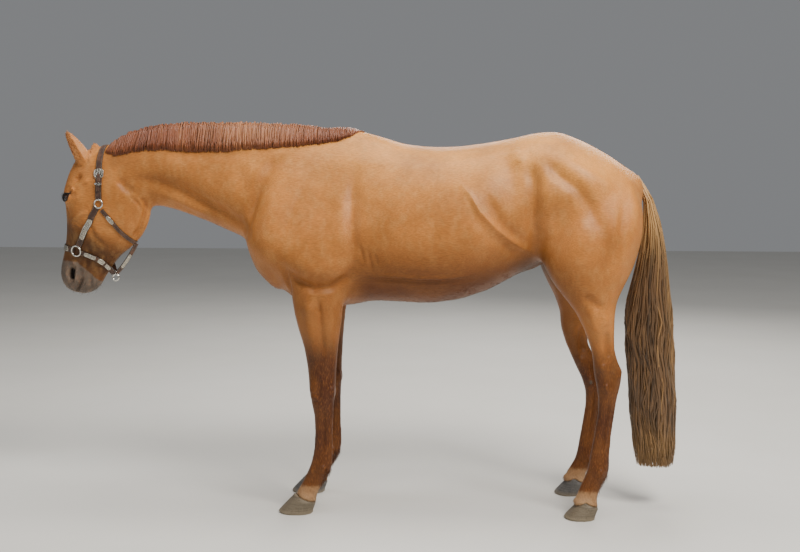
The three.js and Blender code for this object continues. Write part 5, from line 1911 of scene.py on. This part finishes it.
def underJaw(p, n):
    return headShare(p) * (zonesOf(p, n)["faceZones"][:, 0] > 0.15) * (n[:, 2] < -0.35)


def inEars(p, n):
    zones = zonesOf(p, n)
    return zones["skinZones"][:, 2] + 0.25 * zones["faceZones"][:, 2] * (np.abs(n[:, 0]) < 0.5)


def onMuzzle(p, n):
    return zonesOf(p, n)["skinZones"][:, 0] * (0.4 + (n[:, 2] < -0.1)) * (n[:, 0] > -0.35)


# where it grows: how many hairs, how long, how wide, and how many degrees they lift
feather = [
    (onErgot, 700, (0.016, 0.030), 0.0016, 22), (behindCannon, 900, (0.008, 0.015), 0.0012, 11),
    (overCoronet, 2600, (0.010, 0.017), 0.0013, 9), (behindElbow, 500, (0.010, 0.016), 0.0013, 12),
    (underJaw, 500, (0.010, 0.018), 0.0009, 12),
]


def buildFeather():
    random = np.random.default_rng(31)
    groups = []
    for weightAt, count, length, width, lift in feather:
        spots = scatter(count, weightAt, random)
        lengths = random.uniform(*length, count)
        widths = width * random.uniform(0.7, 1.3, count)
        groups.append((*spots, lengths, widths, lift * random.uniform(0.5, 1.4, count)))
    joined = [np.concatenate(v) for v in zip(*groups)]
    tuftPiece("feather_of_the_legs_and_jaw", joined[:3], joined[3:], random, levels=5, curl=0.35)


def buildEarHair():
    random = np.random.default_rng(32)
    spots = scatter(2200, inEars, random)
    count = len(spots[0])
    lengths = random.uniform(0.008, 0.017, count)
    widths = 0.0010 * random.uniform(0.6, 1.2, count)
    sizes = lengths, widths, random.uniform(12, 34, count)
    tuftPiece("ear_hair", spots, sizes, random, levels=4, curl=0.4)


def buildWhiskers():
    random = np.random.default_rng(33)
    spots = scatter(110, onMuzzle, random)
    count = len(spots[0])
    lengths = random.uniform(0.014, 0.030, count)
    sizes = lengths, np.full(count, 0.00055), random.uniform(35, 60, count)
    tuftPiece("whiskers", spots, sizes, random, levels=5, curl=0.35, material=lashMat)


def buildLashes():
    random = np.random.default_rng(34)
    roots, lays, outs = [], [], []
    for word, side in sides:
        centre = middleOf(f"eye_{word}")
        out, corner, upper = eyeAxes(side)
        for step in np.linspace(-0.80, 0.72, 34):
            u = step * eye["long"]
            v = eye["upper"] * (1 - abs(step) ** 2.3) + 0.0010
            d = np.array((u, v, math.sqrt(max(eye["radius"] ** 2 - u * u - v * v, 1e-6))))
            d /= np.linalg.norm(d)
            direction = corner * d[0] + upper * d[1] + out * d[2]
            roots.append(centre + direction * (eye["radius"] + eye["lid"] + 0.0010))
            lays.append(unit(direction * 0.75 + np.array((-0.15, 0, -0.55)) + corner * step * 0.4))
            outs.append(upper)
    roots, lays, outs = map(np.array, (roots, lays, outs))
    count = len(roots)
    spots = roots, outs, rootsOnSkin(roots)
    lengths = random.uniform(0.009, 0.014, count)
    sizes = lengths, np.full(count, 0.0009), random.uniform(2, 10, count)
    tuftPiece("eyelashes", spots, sizes, random, levels=5, curl=-0.8, lay=lays, material=lashMat)


buildFeather()
buildEarHair()
buildWhiskers()
buildLashes()
print("feather, ear hair, whiskers and lashes laid")


# Floor and the light of the room
room = dict(colour=(0.80, 0.82, 0.85, 1), strength=0.27)
floorMesh = bmesh.new()
bmesh.ops.create_grid(floorMesh, x_segments=1, y_segments=1, size=floorSize / 2)
floor = newObject("floor", meshFrom(floorMesh, "floor"))
floor.data.materials.append(floorMat)
world = bpy.data.worlds.new("studio")
bpy.context.scene.world = world
world.use_nodes = True
background = world.node_tree.nodes["Background"]
background.inputs["Color"].default_value = room["colour"]
background.inputs["Strength"].default_value = room["strength"]
